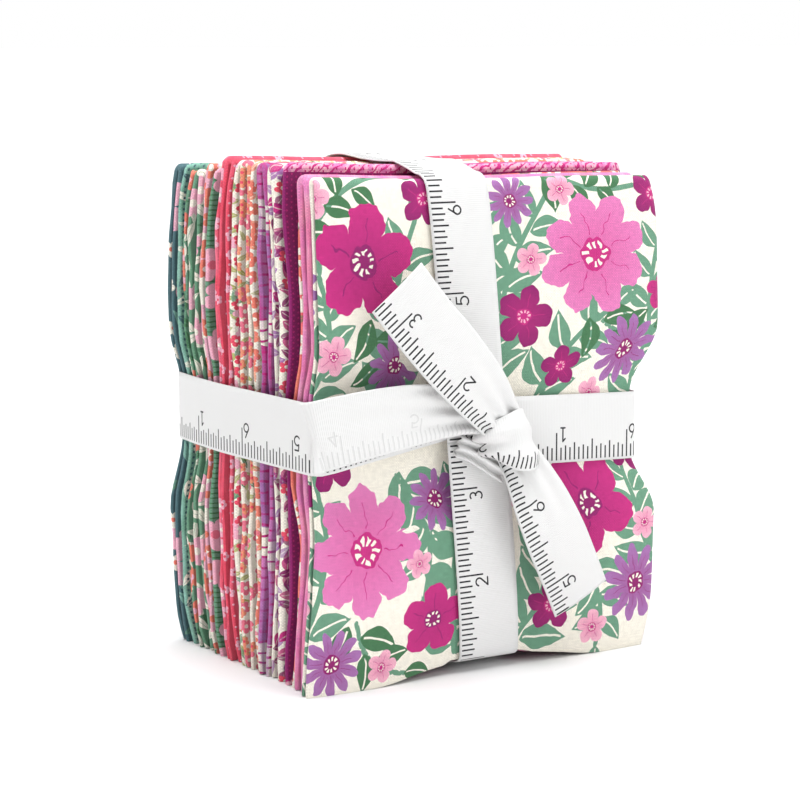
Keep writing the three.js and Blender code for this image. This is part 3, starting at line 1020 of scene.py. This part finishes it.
class Stack:
    """The folded stack's sizes in millimetres, and how the ribbon draws it in."""

    def __init__(self, sizes):
        self.width, self.height = sizes.width / MM, sizes.height / MM
        self.depth, self.gap = sizes.depth / MM, sizes.gap / MM
        self.thickness = sizes.thickness / MM
        self.shares = sum(row[1] for row in QUARTERS)

    def over_band_x(self, z):
        """Where the band over the top runs at a height."""
        return OVER_BAND_FOOT_X + (OVER_BAND_TOP_X - OVER_BAND_FOOT_X) * z / self.height

    def round_band(self, z):
        """One under the band that goes round."""
        return plateau(z - ROUND_BAND_HEIGHT, ROUND_BAND_HALF, ROUND_BAND_FADE)

    def edges(self, z, top, foot, reach):
        """The left and right edges of a quarter at a height."""
        free = 1 - self.round_band(z)
        tuck = foot + (top - foot) * z / self.height
        return -self.width / 2 + tuck * free, self.width / 2 + reach * free

    def squeezed(self, x, y, z, rises):
        """Points of the straight stack where the ribbon draws them."""
        half = self.width / 2
        band = self.round_band(z)
        over = plateau(x - self.over_band_x(z), BAND_HALF, OVER_BAND_FADE)
        end = (np.abs(z / self.height - 0.5) * 2) ** 6
        side = (np.abs(x) / half) ** 6
        outer = (np.abs(y) / (self.depth / 2)) ** 4
        depth = (
            1
            - DEPTH_PINCH_ROUND * band
            - DEPTH_PINCH_OVER * over
            - DEPTH_TAPER_ENDS * end
            - DEPTH_TAPER_SIDES * side
        )
        width = band * (WIDTH_PINCH + WIDTH_PINCH_OUTER * outer) + WIDTH_TAPER_ENDS * end
        m = (x / half) ** 2
        up = np.maximum(0, z / self.height) ** 3
        rightward = np.clip(0.5 + x / half / 2, 0, 1)
        lift = rises[0] + (rises[1] - rises[0]) * rightward - TOP_DIP * over
        ahead = np.clip(-y / (self.depth / 2), 0, 1)
        groove = FOOT_GROOVE * plateau(x - self.over_band_x(0), BAND_HALF, FOOT_GROOVE_FADE)
        groove = groove + FRONT_FOOT_LIFT * over * ahead**3
        low = np.maximum(0, 1 - z / FOOT_GROOVE_HEIGHT)
        leftward = np.maximum(0, -x / half) ** 2
        forward = np.clip((DRAW_FROM - y) / DRAW_RUN, 0, 1)
        waist = np.maximum(0, 1 - (np.abs(z / self.height - 0.5) * 2) ** 2.5)
        draw = FRONT_DRAW * leftward * forward * waist
        return (
            x * (1 - width * m) - SWAY * band * m + draw,
            y * depth,
            z + lift * up + groove * low,
        )

    def creased(self, x, y, z):
        """The outer cloth's soft troughs and swells, dying out into the stack."""
        moved = np.zeros_like(y)
        for table, side in ((FRONT_CREASES, -1), (BACK_CREASES, 1)):
            into = np.exp(-np.maximum(0, self.depth / 2 - side * y) / CREASE_REACH)
            for ax, az, bx, bz, half, deep in table:
                run, ux, uz = heading(ax, az, bx, bz)
                along = np.clip((x - ax) * ux + (z - az) * uz, 0, run)
                off = np.hypot(x - ax - along * ux, z - az - along * uz)
                fade = np.cos(np.pi / 2 * along / run) * 0.7 + 0.3
                moved += side * deep * fade * np.exp(-((off / half) ** 2)) * into
        return y + moved


def eased(t):
    """Nought to one with soft ends."""
    t = np.clip(t, 0, 1)
    return t * t * (3 - 2 * t)


def wander(seed, reach):
    """A slow wave along a fold, as a function of the height in millimetres."""
    rng = random.Random(seed)
    waves = [
        (reach * rng.uniform(0.5, 1) / k, rng.uniform(38, 62) / k, rng.uniform(0, math.tau))
        for k in (1, 1.7, 2.9)
    ]

    def at(z):
        return sum(a * np.sin(math.tau * z / span + start) for a, span, start in waves)

    return at


FOLD_STEPS = 8


def leg_section(pitch, columns, fine):
    """Across one leg from its right raw edge: share of the width, slip past the fold's
    middle, lift from the leg's middle, and the way the cloth faces."""
    rows = []
    for ply, height in enumerate(PLIES):
        leftward = ply % 2 == 0
        face = 1 if leftward else -1
        stops = fine if ply == 0 else columns
        rows += [(s, 0, height * pitch, 0, face) for s in (stops[::-1] if leftward else stops)]
        if ply == len(PLIES) - 1:
            break
        middle = (height + PLIES[ply + 1]) / 2 * pitch
        radius = abs(height - PLIES[ply + 1]) / 2 * pitch
        above = 1 if height > PLIES[ply + 1] else -1
        share, side = (0, -1) if leftward else (1, 1)
        for turn in np.linspace(0, math.pi, FOLD_STEPS)[1:-1]:
            out, up = side * math.sin(turn), above * math.cos(turn)
            faces = face * above * out, face * above * up
            rows.append((share, radius * out, middle + radius * up, *faces))
    return np.array(rows, float).T


def leg_rows(foot, shoulder, pitch, counts):
    """Along the doubled cloth: height, turn over the top, side of the ply, from the back
    foot over the top to the front foot, round it, and back again."""
    fine, plain, arch, turn = counts
    up, down = (np.linspace(0, 1, count) for count in (plain, fine))
    over, under = (np.linspace(0, 1, count + 2)[1:-1] for count in (arch, turn))
    tall = shoulder - foot
    rows = [(foot + tall * s, 0, 1) for s in up]
    rows += [(shoulder, math.pi * s, 1) for s in over]
    rows += [(shoulder - tall * s, math.pi, 1) for s in down]
    angles = math.pi * under
    rows += [(foot - pitch / 2 * math.sin(a), math.pi, math.cos(a)) for a in angles]
    rows += [(foot + tall * s, math.pi, -1) for s in up]
    rows += [(shoulder, math.pi * (1 - s), -1) for s in over]
    rows += [(shoulder - tall * s, 0, -1) for s in up]
    return np.array(rows, float).T


def run_lengths(points, axis):
    """Distance along one direction of a grid, averaged over the other."""
    steps = np.linalg.norm(np.diff(points, axis=axis), axis=2).mean(axis=1 - axis)
    return np.concatenate([[0], np.cumsum(steps)])


def grid_object(name, columns, rows, size):
    """A flat grid in the scene."""
    bm = bmesh.new()
    bmesh.ops.create_grid(bm, x_segments=columns, y_segments=rows, size=size)
    mesh = bpy.data.meshes.new(name)
    bm.to_mesh(mesh)
    bm.free()
    made = bpy.data.objects.new(name, mesh)
    bpy.context.scene.collection.objects.link(made)
    return made


def sheet_object(name, points, along, across, thickness):
    """A grid of cloth through points[row, column], with its flat place as its UV map."""
    rows, columns = points.shape[:2]
    made = grid_object(name, columns - 1, rows - 1, 0.5)
    mesh = made.data
    place = points_of(mesh)
    column = np.rint((place[:, 0] + 0.5) * (columns - 1)).astype(int)
    row = np.rint((place[:, 1] + 0.5) * (rows - 1)).astype(int)
    mesh.vertices.foreach_set("co", (points[row, column] * MM).astype(np.float32).ravel())
    corner = np.zeros(len(mesh.loops), np.int32)
    mesh.loops.foreach_get("vertex_index", corner)
    flat = np.stack([along[row], across[column]], 1)[corner] * MM
    mesh.uv_layers.new(name="flat").data.foreach_set("uv", flat.astype(np.float32).ravel())
    mesh.polygons.foreach_set("use_smooth", np.ones(len(mesh.polygons), bool))
    mesh.update()
    wall = made.modifiers.new("thickness", "SOLIDIFY")
    wall.thickness = thickness
    wall.offset = 0
    wall.material_offset = wall.material_offset_rim = 1
    return made, row, column


# Where the cloth's columns lie across it, and how many columns and rows each part has.
COARSE_COLUMNS = (0, 0.012, 0.035, 0.09, 0.2, 0.35, 0.41, 0.52, 0.6, 0.66, 0.8, 0.95, 1)
COARSE_ROWS = 26
FACE_COLUMNS = 104
FACE_ROWS = 122
OUTER_STEPS = 40
ARCH_ROWS = 9
FOOT_ROWS = 5
# The left folds, in millimetres and shares: how far in and over what height they swell, how
# much of their room they fill, and how far a tucked or a lagging leg stays back.
RIDGE_REACH = 5
RIDGE_FADE = 12
RIDGE_FILL = 0.62
RECESS = 4.5
LAG = 0.9
# How soon the cloth counts as the crown of a side fold and of a top fold, out of the painted shade
# of the creases.
CROWN_SPREAD = 2.2
TOP_SPREAD = 4
# Spaces between the middles of a leg's doubled plies, and the most of a space cloth may fill.
PLY_SPACES = 7
WIDEST_WALL = 0.75


def fold_quarter(stack, index, front):
    """One quarter, doubled, folded in four across and hung over its own middle."""
    name, share, *rises, top, foot, reach, lead, loose = QUARTERS[index]
    first, last = index == 0, index == len(QUARTERS) - 1
    back = front + share / stack.shares * (stack.depth + stack.gap) - stack.gap
    leg = (back - front - stack.gap) / 2
    middle, bend = (front + back) / 2, (leg + stack.gap) / 2
    shoulder = stack.height - bend - leg / 2
    wall = min(stack.thickness, WIDEST_WALL * leg / (PLY_SPACES + WIDEST_WALL))
    pitch = (leg - wall) / PLY_SPACES
    coarse = np.array(COARSE_COLUMNS)
    fine = coarse
    if first or last:
        fine = np.linspace(0, 1, FACE_COLUMNS if first else OUTER_STEPS)
    s, slip, lift, face_x, face_o = leg_section(pitch, coarse, fine)
    plain = OUTER_STEPS if first or last else COARSE_ROWS
    counts = (FACE_ROWS if first else COARSE_ROWS, plain, ARCH_ROWS, FOOT_ROWS)
    rows = leg_rows(pitch / 2 + wall / 2, shoulder, pitch, counts)
    z, turn, side = (part[:, None] for part in rows)
    toward = (1 - np.cos(turn)) / 2
    edges = []
    for edge, seed in zip(stack.edges(z, top, foot, reach), (1, 101)):
        ahead, behind = (wander(index * 2 + seed + k, loose) for k in (0, 1))
        edges.append(edge + ahead(z) * toward + behind(z) * (1 - toward))
    tucked = lead == 1
    ridge = (toward * lead + (1 - toward) * (0.5 if tucked else 1 - lead)) * leg
    below = eased((shoulder - z) / RIDGE_FADE)
    swell = 1 + below * (ridge / (leg / 2) - 1)
    near = below * eased(1 - s * stack.width / RIDGE_REACH)
    grow = 1 + near * (RIDGE_FILL * ridge / (leg / 2) - 1)
    out = bend + near * ((back - front) / 2 - ridge - bend)
    outset = np.abs(slip[slip < 0]).max() * swell + pitch / 2 + wall / 2
    lag = RECESS if tucked else LAG * (1 < index < len(QUARTERS) - 1)
    left = edges[0] + outset + lag * (toward if index % 2 and not tucked else 1 - toward)
    right = edges[1] - pitch * 1.5 - wall / 2
    x = left + (right - left) * s + slip * grow + face_x * side * pitch / 2
    out = out + (lift + face_o * side * pitch / 2) * grow
    y = middle + out * np.cos(turn)
    z = z + out * np.sin(turn)
    flat = np.stack([x, y, z], 2)
    along, across = run_lengths(flat, 0), run_lengths(flat, 1)
    x, y, z = stack.squeezed(x, y, z, rises)
    points = np.stack([x, stack.creased(x, y, z), z], 2)
    made, row, column = sheet_object(f"cloth_{name}", points, along, across, wall * MM)
    mesh = made.data
    # Where the painted crease shade lifts: one on the crowns of the folds and on open faces and
    # edges, less on their flanks.
    crown = np.maximum(np.abs(face_x) * CROWN_SPREAD, np.sin(turn) * TOP_SPREAD)
    outside = (first & (toward > 0.5) | last & (toward < 0.5)) & (lift > 0)
    crown = np.where((s == 1) | outside, 1, np.clip(crown, 0, 1))
    point_attribute(mesh, "crown", crown[row, column])
    kind = name[3:]
    if first:
        foot_row = plain + ARCH_ROWS + FACE_ROWS - 1
        layers = face_print_attributes(
            mesh, stack.width / 2 - across[column], along[foot_row] - along[row]
        )
        mesh.materials.append(face_cotton(*layers))
        mesh.materials.append(reverse_cotton(kind, "cream"))
    else:
        mesh.materials.append(printed_cotton(kind))
        mesh.materials.append(reverse_cotton(kind, PRINTS[kind][0]))
    return made, back + stack.gap


def finish_piece(piece, node):
    """The piece rides on the bundle and stands for its solid."""
    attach(piece, BODY)
    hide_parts(node)


class BUNDLE_OT_fold_quarters(bpy.types.Operator):
    """Fold the seventeen printed quarters and stand them in a stack"""

    bl_idname = "bundle.fold_quarters"
    bl_label = "Fold Quarters"

    def execute(self, context):
        sizes = context.scene.bundle_cloth
        stack = Stack(sizes)
        front, before = -stack.depth / 2, "floor"
        for index, (name, *_) in enumerate(QUARTERS):
            piece, front = fold_quarter(stack, index, front)
            finish_piece(piece, f"quarter_{name}")
            before = piece.name
        return {"FINISHED"}


def taut_round(points):
    """The convex outline of flat points, counter-clockwise."""
    points = sorted(set(map(tuple, np.round(points, 3))))

    def half(run):
        chain = []
        for p in run:
            while len(chain) > 1 and (
                (chain[-1][0] - chain[-2][0]) * (p[1] - chain[-2][1])
                <= (chain[-1][1] - chain[-2][1]) * (p[0] - chain[-2][0])
            ):
                chain.pop()
            chain.append(p)
        return chain[:-1]

    return np.array(half(points) + half(points[::-1]))


BAND_STEP = 1.2
# Reach and depth in millimetres, and steps of the line that are evened out.
SETTLE_REACH = 5
SETTLE_STEPS = 9
SETTLE_DEPTH = 9
# How far past the ribbon's edge cloth holds it off.
BAND_MARGIN = 1
RIBBON_COLUMNS = 13
# How far the knot draws up the marked edge of the band left of it, and over what length.
GATHER = 9.5
GATHER_FROM = 52
GATHER_RUN = 45
MARKED = 5


def band_path(points, standoff, start):
    """A taut band round flat points, clockwise: its line, stood off them, from the place
    nearest start."""
    hull = taut_round(points)
    closed = np.vstack([hull, hull[:1]])
    along = lengths_of(closed)
    at = np.linspace(0, along[-1], int(along[-1] / BAND_STEP) + 1)[:-1]
    line = np.stack([np.interp(at, along, closed[:, k]) for k in (0, 1)], 1)
    line = (np.roll(line, 1, 0) + 2 * line + np.roll(line, -1, 0)) / 4
    ahead = np.roll(line, -1, 0) - np.roll(line, 1, 0)
    out = np.stack([ahead[:, 1], -ahead[:, 0]], 1)
    line = line + out / np.linalg.norm(out, axis=1)[:, None] * standoff
    line = np.roll(line, -np.argmin(np.hypot(*(line - start).T)), 0)
    return np.vstack([line, line[:1]])[::-1]


def settled(line, cloth, stand):
    """A band's line let down onto the tops under it, over the highest cloth within reach."""
    tops = np.array(
        [cloth[np.abs(cloth[:, 0] - y) < SETTLE_REACH, 1].max(initial=0) for y in line[:, 0]]
    )
    low = np.convolve(tops, np.ones(SETTLE_STEPS) / SETTLE_STEPS, "same") + stand
    high = line[:, 1] > cloth[:, 1].max() - SETTLE_DEPTH
    line = line.copy()
    line[high, 1] = np.minimum(line[high, 1], low[high])
    return line


def points_of(mesh):
    """The points of a mesh."""
    place = np.zeros(len(mesh.vertices) * 3, np.float32)
    mesh.vertices.foreach_get("co", place)
    return place.reshape(-1, 3)


def lengths_of(line):
    """Distance along a line of points."""
    return np.concatenate([[0], np.cumsum(np.linalg.norm(np.diff(line, axis=0), axis=1))])


def ribbon_piece(name, points, along):
    """A length of ribbon, printed side out: rows run along it and columns from its marked edge."""
    sizes = bpy.context.scene.bundle_ribbon
    inward = np.linspace(0, sizes.width / MM, points.shape[1])
    piece, _, _ = sheet_object(name, points, along, inward, sizes.thickness)
    for side, strength in (("ruler_print", 1), ("ruler_reverse", 0.16)):
        material = bpy.data.materials.get(side) or ribbon_material(side, strength)
        piece.data.materials.append(material)
    finish_piece(piece, RIBBON_NODE)


class BUNDLE_OT_wrap_bands(bpy.types.Operator):
    """Draw the ribbon taut round the stack and over its top"""

    bl_idname = "bundle.wrap_bands"
    bl_label = "Wrap Bands"

    def execute(self, context):
        stack, sizes = Stack(context.scene.bundle_cloth), context.scene.bundle_ribbon
        pieces = [piece for piece in bpy.data.objects if piece.name.startswith("cloth_")]
        cloth = np.vstack([points_of(piece.data) / MM for piece in pieces])
        half = sizes.width / MM / 2
        stand = (sizes.standoff + sizes.thickness / 2) / MM
        across = np.linspace(-half, half, RIBBON_COLUMNS)
        level = cloth[:, 2] - ROUND_BAND_HEIGHT - ROUND_BAND_SLOPE * cloth[:, 0]
        near = cloth[np.abs(level) < half + BAND_MARGIN]
        line = band_path(near[:, :2], stand, (KNOT[0], -60))
        along = lengths_of(line)
        behind = np.argmax(line[:, 1] - np.abs(line[:, 0] - OVER_BAND_TOP_X))
        drawn = GATHER * np.clip((line[:, :1] + GATHER_FROM) / GATHER_RUN, 0, 1)
        drawn[(np.arange(len(line)) > behind) | (line[:, 1] > 0)] = 0
        drawn = drawn * (1 - np.clip((across + half - MARKED) / (2 * half - MARKED), 0, 1))
        rise = ROUND_BAND_HEIGHT + ROUND_BAND_SLOPE * line[:, :1]
        level = 0 * across
        points = np.stack([line[:, :1] + level, line[:, 1:] + level, rise + across + drawn], 2)
        marks = along + ROUND_PRINT_LEFT
        marks[behind:] = along[behind:] - along[-1] + ROUND_PRINT_RIGHT
        ribbon_piece("ribbon_round_band", points, marks)
        beside = cloth[:, 0] - stack.over_band_x(cloth[:, 2])
        near = cloth[np.abs(beside) < half + BAND_MARGIN]
        lifted = stand + sizes.thickness / MM
        line = band_path(near[:, 1:], lifted, (-60, KNOT[2]))
        line = settled(line, near[:, 1:], lifted)
        lean = stack.over_band_x(line[:, 1:])
        points = np.stack([lean + across, line[:, :1] + level, line[:, 1:] + level], 2)
        points[..., 2] = np.maximum(points[..., 2], sizes.thickness / MM / 2)
        marks = lengths_of(line) + OVER_PRINT
        marks[np.argmin(line[:, 1]) :] += OVER_PRINT_STEP
        ribbon_piece("ribbon_over_band", points, marks)
        return {"FINISHED"}


# Where the ruler print starts on the band left of the knot, ends right of it, starts on the
# band over the top, and how far it steps on under the foot, in millimetres.
INCH = 25.4
ROUND_PRINT_LEFT = 5 * INCH - 67
ROUND_PRINT_RIGHT = INCH + 22
OVER_PRINT = 5 * INCH - 42
OVER_PRINT_STEP = INCH
# The bow, in millimetres: its knot, and the lines of its loop and tails as x, y, z and width.
KNOT = (3, -44.6, 68.5)
LOOP = (
    (2, -43.4, 72, 8), (-14, -43.3, 76.8, 12.5), (-34, -43.4, 76.4, 19), (-52, -43.4, 73.6, 20),
    (-57.6, -44.2, 74, 20), (-58.6, -45.5, 74.3, 20), (-57.2, -46.7, 74.8, 20),
    (-52, -47.7, 75.8, 19.6), (-40, -48.9, 77.6, 18.6), (-27, -48.7, 78.6, 16.8),
    (-16, -47.7, 78.2, 13.8), (-7, -46.9, 76.6, 10.6), (2, -45.6, 73, 8),
)
UPPER_TAIL = (
    (5, -47.2, 69.5, 10), (-1, -49.6, 76, 14), (-8, -50.8, 84, 18), (-17, -51.1, 93.7, 20),
    (-26, -50.9, 103.5, 20), (-35, -50.6, 114.4, 20),
)
LOWER_TAIL = (
    (29.2, -47.2, 19.6, 20), (24.5, -48.2, 29, 20), (19.5, -48.6, 39, 20),
    (14, -48.4, 50, 18), (9, -47.4, 60, 14), (4, -45.6, 68, 10),
)
KNOT_WRAP = (
    (12.6, -43.6, 67.6, 14), (11.6, -46.4, 68, 16), (8.6, -49.4, 68.6, 17.5),
    (4, -51.2, 69.3, 17), (-0.6, -50.8, 69.2, 13.5), (-3.8, -48.8, 68.6, 10.5),
    (-5.2, -45.4, 68, 9.5),
)
KNOT_TUCK = (
    (-11, -43.8, 68.6, 8), (-7, -44.4, 67, 8), (-3, -44.9, 64.8, 8.5), (1, -44.9, 62.4, 9),
    (5, -44.2, 60, 9),
)
KNOT_LEAN = (-0.35, 0, 0.94)
LOOP_ACROSS = (-0.22, 0, 0.975)
ROUTE_STEP = 0.9


ROUTE_STEPS = 24
PLEAT_DEPTH = 0.11


def smooth_route(stops):
    """A smooth line through the stops, evenly spaced, with its width."""
    stops = np.array(stops, float)
    ends = np.vstack([2 * stops[0] - stops[1], stops, 2 * stops[-1] - stops[-2]])
    t = np.linspace(0, 1, ROUTE_STEPS, endpoint=False)[:, None]
    parts = []
    for a, b, c, d in zip(ends, ends[1:], ends[2:], ends[3:]):
        bend, twist = 2 * a - 5 * b + 4 * c - d, 3 * b - a - 3 * c + d
        parts.append(0.5 * (2 * b + (c - a) * t + bend * t**2 + twist * t**3))
    line = np.vstack([*parts, stops[-1:]])
    along = lengths_of(line[:, :3])
    at = np.linspace(0, along[-1], int(along[-1] / ROUTE_STEP) + 1)
    return np.stack([np.interp(at, along, line[:, k]) for k in range(4)], 1)


def ribbon_along(route, across, full, pleats, curl, seed):
    """Points of a ribbon laid along a route; where it is drawn narrower, the rest is pleated."""
    line = smooth_route(route)
    ahead = np.gradient(line[:, :3], axis=0)
    ahead /= np.linalg.norm(ahead, axis=1)[:, None]
    if across is None:
        side = np.cross(np.broadcast_to((0.0, 1.0, 0.0), ahead.shape), ahead)
    else:
        side = np.broadcast_to(np.array(across, float), ahead.shape).copy()
    side -= (side * ahead).sum(1)[:, None] * ahead
    side /= np.linalg.norm(side, axis=1)[:, None]
    out = np.cross(side, ahead)
    v = np.linspace(-1, 1, RIBBON_COLUMNS * 2 - 1)
    slack = 1 - line[:, 3:] / full
    folds = np.cos(np.pi * pleats * v + seed) * slack * full * PLEAT_DEPTH
    lift = folds + curl * (1 - v**2)
    aside = line[:, 3:] / 2 * v
    points = line[:, None, :3] + side[:, None] * aside[..., None] + out[:, None] * lift[..., None]
    return points, lengths_of(line[:, :3])


# Each length of the bow: name, route, the way across it where that is given, pleats, curl,
# where its ruler print starts and what it rests on.
BOW = (
    ("ribbon_loop", LOOP, LOOP_ACROSS, 3, 0.25, 31, "ribbon_round_band"),
    ("ribbon_upper_tail", UPPER_TAIL, None, 3, 0.5, 24, "ribbon_knot_wrap"),
    ("ribbon_lower_tail", LOWER_TAIL, None, 3, 0.7, 117, "ribbon_knot_wrap"),
    ("ribbon_knot_wrap", KNOT_WRAP, KNOT_LEAN, 2, 0.9, 25.6, "ribbon_round_band"),
    ("ribbon_knot_tuck", KNOT_TUCK, None, 3, 0.3, 90, "ribbon_round_band"),
)


class BUNDLE_OT_tie_bow(bpy.types.Operator):
    """Tie the ribbon's loop, tails and knot on the front"""

    bl_idname = "bundle.tie_bow"
    bl_label = "Tie Bow"

    def execute(self, context):
        full = context.scene.bundle_ribbon.width / MM
        for name, route, across, pleats, curl, start, rests in BOW:
            points, along = ribbon_along(route, across, full, pleats, curl, len(name))
            ribbon_piece(name, points, along + start)
        return {"FINISHED"}


# The camera: azimuth and height in degrees, distance and aim in metres, lens in millimetres,
# and the shift that puts the aim where the photograph has it.
VIEW_TURN = -31.1
VIEW_RISE = 9.0
VIEW_DISTANCE = 0.7
VIEW_AIM = (0, 0, 0.072)
VIEW_LENS = 105.5
VIEW_SHIFT = (-0.0138, 0.0088)
# The paper floor, and the studio's walls, bright at the floor and dimmer overhead.
FLOOR_HALF = 30
PAPER_DARK, PAPER_PALE = (0.8, 0.8, 0.8, 1), (0.82, 0.82, 0.82, 1)
SKY_LOW = (1, 1, 1, 1)
SKY_HIGH = (0.25, 0.25, 0.26, 1)
SKY_START = 0.03
SKY_FALL = 5
OVERHEAD_STRENGTH = 4.5
OVERHEAD_SOFTNESS = 60
# Soft boxes: name, place, size and power.
LIGHTS = (
    ("front", (0.6, -1.6, 1.1), 0.9, 9),
    ("left", (-1.4, 0.8, 0.8), 0.45, 3),
    ("right", (1.5, -1.0, 0.8), 0.9, 1.5),
)


def staged(name, data, place=(0, 0, 0), aim=None):
    """A light or camera in the scene, turned toward its aim where it has one."""
    made = bpy.data.objects.new(name, data)
    made.location = place
    if aim is not None:
        made.rotation_euler = (aim - made.location).to_track_quat("-Z", "Y").to_euler()
    bpy.context.scene.collection.objects.link(made)
    return made


class BUNDLE_OT_set_stage(bpy.types.Operator):
    """Lay the pale floor, hang the soft boxes and set up the camera"""

    bl_idname = "bundle.set_stage"
    bl_label = "Set Stage"

    def execute(self, context):
        scene = context.scene
        floor = grid_object("floor", 1, 1, FLOOR_HALF)
        paper = bpy.data.materials.new("pale_paper")
        paper.use_nodes = True
        nodes = Nodes(paper.node_tree)
        shader = paper.node_tree.nodes["Principled BSDF"].inputs
        place = nodes.result("ShaderNodeTexCoord", out="Object")
        grain = nodes.result("ShaderNodeTexNoise", Vector=place, Scale=40)
        nodes.feed(shader["Base Color"], nodes.mix(grain, PAPER_DARK, PAPER_PALE))
        shader["Roughness"].default_value = 0.9
        floor.data.materials.append(paper)
        world = bpy.data.worlds.new("studio")
        world.use_nodes = True
        sky = Nodes(world.node_tree)
        height = sky.parts(sky.result("ShaderNodeTexCoord", out="Generated"))[2]
        climb = ((height - SKY_START) * SKY_FALL).clamped()
        glow = sky.mix(climb, SKY_LOW, SKY_HIGH)
        sky.feed(world.node_tree.nodes["Background"].inputs[0], glow)
        scene.world = world
        aim = Vector(VIEW_AIM)
        for name, place, size, power in LIGHTS:
            lamp = bpy.data.lights.new(name, "AREA")
            lamp.size, lamp.energy = size, power
            staged(name, lamp, place, aim)
        overhead = bpy.data.lights.new("overhead", "SUN")
        overhead.energy = OVERHEAD_STRENGTH
        overhead.angle = math.radians(OVERHEAD_SOFTNESS)
        staged("overhead", overhead)
        turn, rise = math.radians(VIEW_TURN), math.radians(VIEW_RISE)
        level = math.cos(rise)
        away = Vector((math.sin(turn) * level, -math.cos(turn) * level, math.sin(rise)))
        lens = bpy.data.cameras.new("camera")
        lens.lens = VIEW_LENS
        lens.shift_x, lens.shift_y = VIEW_SHIFT
        scene.camera = staged("camera", lens, aim + VIEW_DISTANCE * away, aim)
        scene.view_settings.view_transform = "Standard"
        return {"FINISHED"}


class BUNDLE_PT_panel(bpy.types.Panel):
    """The bundle's sizes, colours and steps"""

    bl_label = "Fat Quarter Bundle"
    bl_idname = "BUNDLE_PT_panel"
    bl_space_type = "VIEW_3D"
    bl_region_type = "UI"
    bl_category = "Bundle"

    def draw(self, context):
        for step in STEPS:
            self.layout.operator(step.bl_idname)
        for group in PROPERTY_GROUPS:
            box = self.layout.box()
            held = getattr(context.scene, group)
            for key in held.bl_rna.properties.keys():
                if key not in ("name", "rna_type"):
                    box.prop(held, key)


STEPS = (
    BUNDLE_OT_fold_quarters,
    BUNDLE_OT_wrap_bands,
    BUNDLE_OT_tie_bow,
    BUNDLE_OT_set_stage,
)
PROPERTY_GROUPS = {
    "bundle_cloth": ClothSizes,
    "bundle_ribbon": RibbonSizes,
    "bundle_colours": PrintColours,
}


def register():
    for group in (*PROPERTY_GROUPS.values(), *STEPS, BUNDLE_PT_panel):
        bpy.utils.register_class(group)
    for key, group in PROPERTY_GROUPS.items():
        setattr(bpy.types.Scene, key, PointerProperty(type=group))


def unregister():
    for key in PROPERTY_GROUPS:
        delattr(bpy.types.Scene, key)
    for group in (BUNDLE_PT_panel, *STEPS, *PROPERTY_GROUPS.values()):
        bpy.utils.unregister_class(group)


def main():
    register()
    bpy.ops.bundle.fold_quarters()
    bpy.ops.bundle.wrap_bands()
    bpy.ops.bundle.tie_bow()
    bpy.ops.bundle.set_stage()


if __name__ == "__main__":
    main()
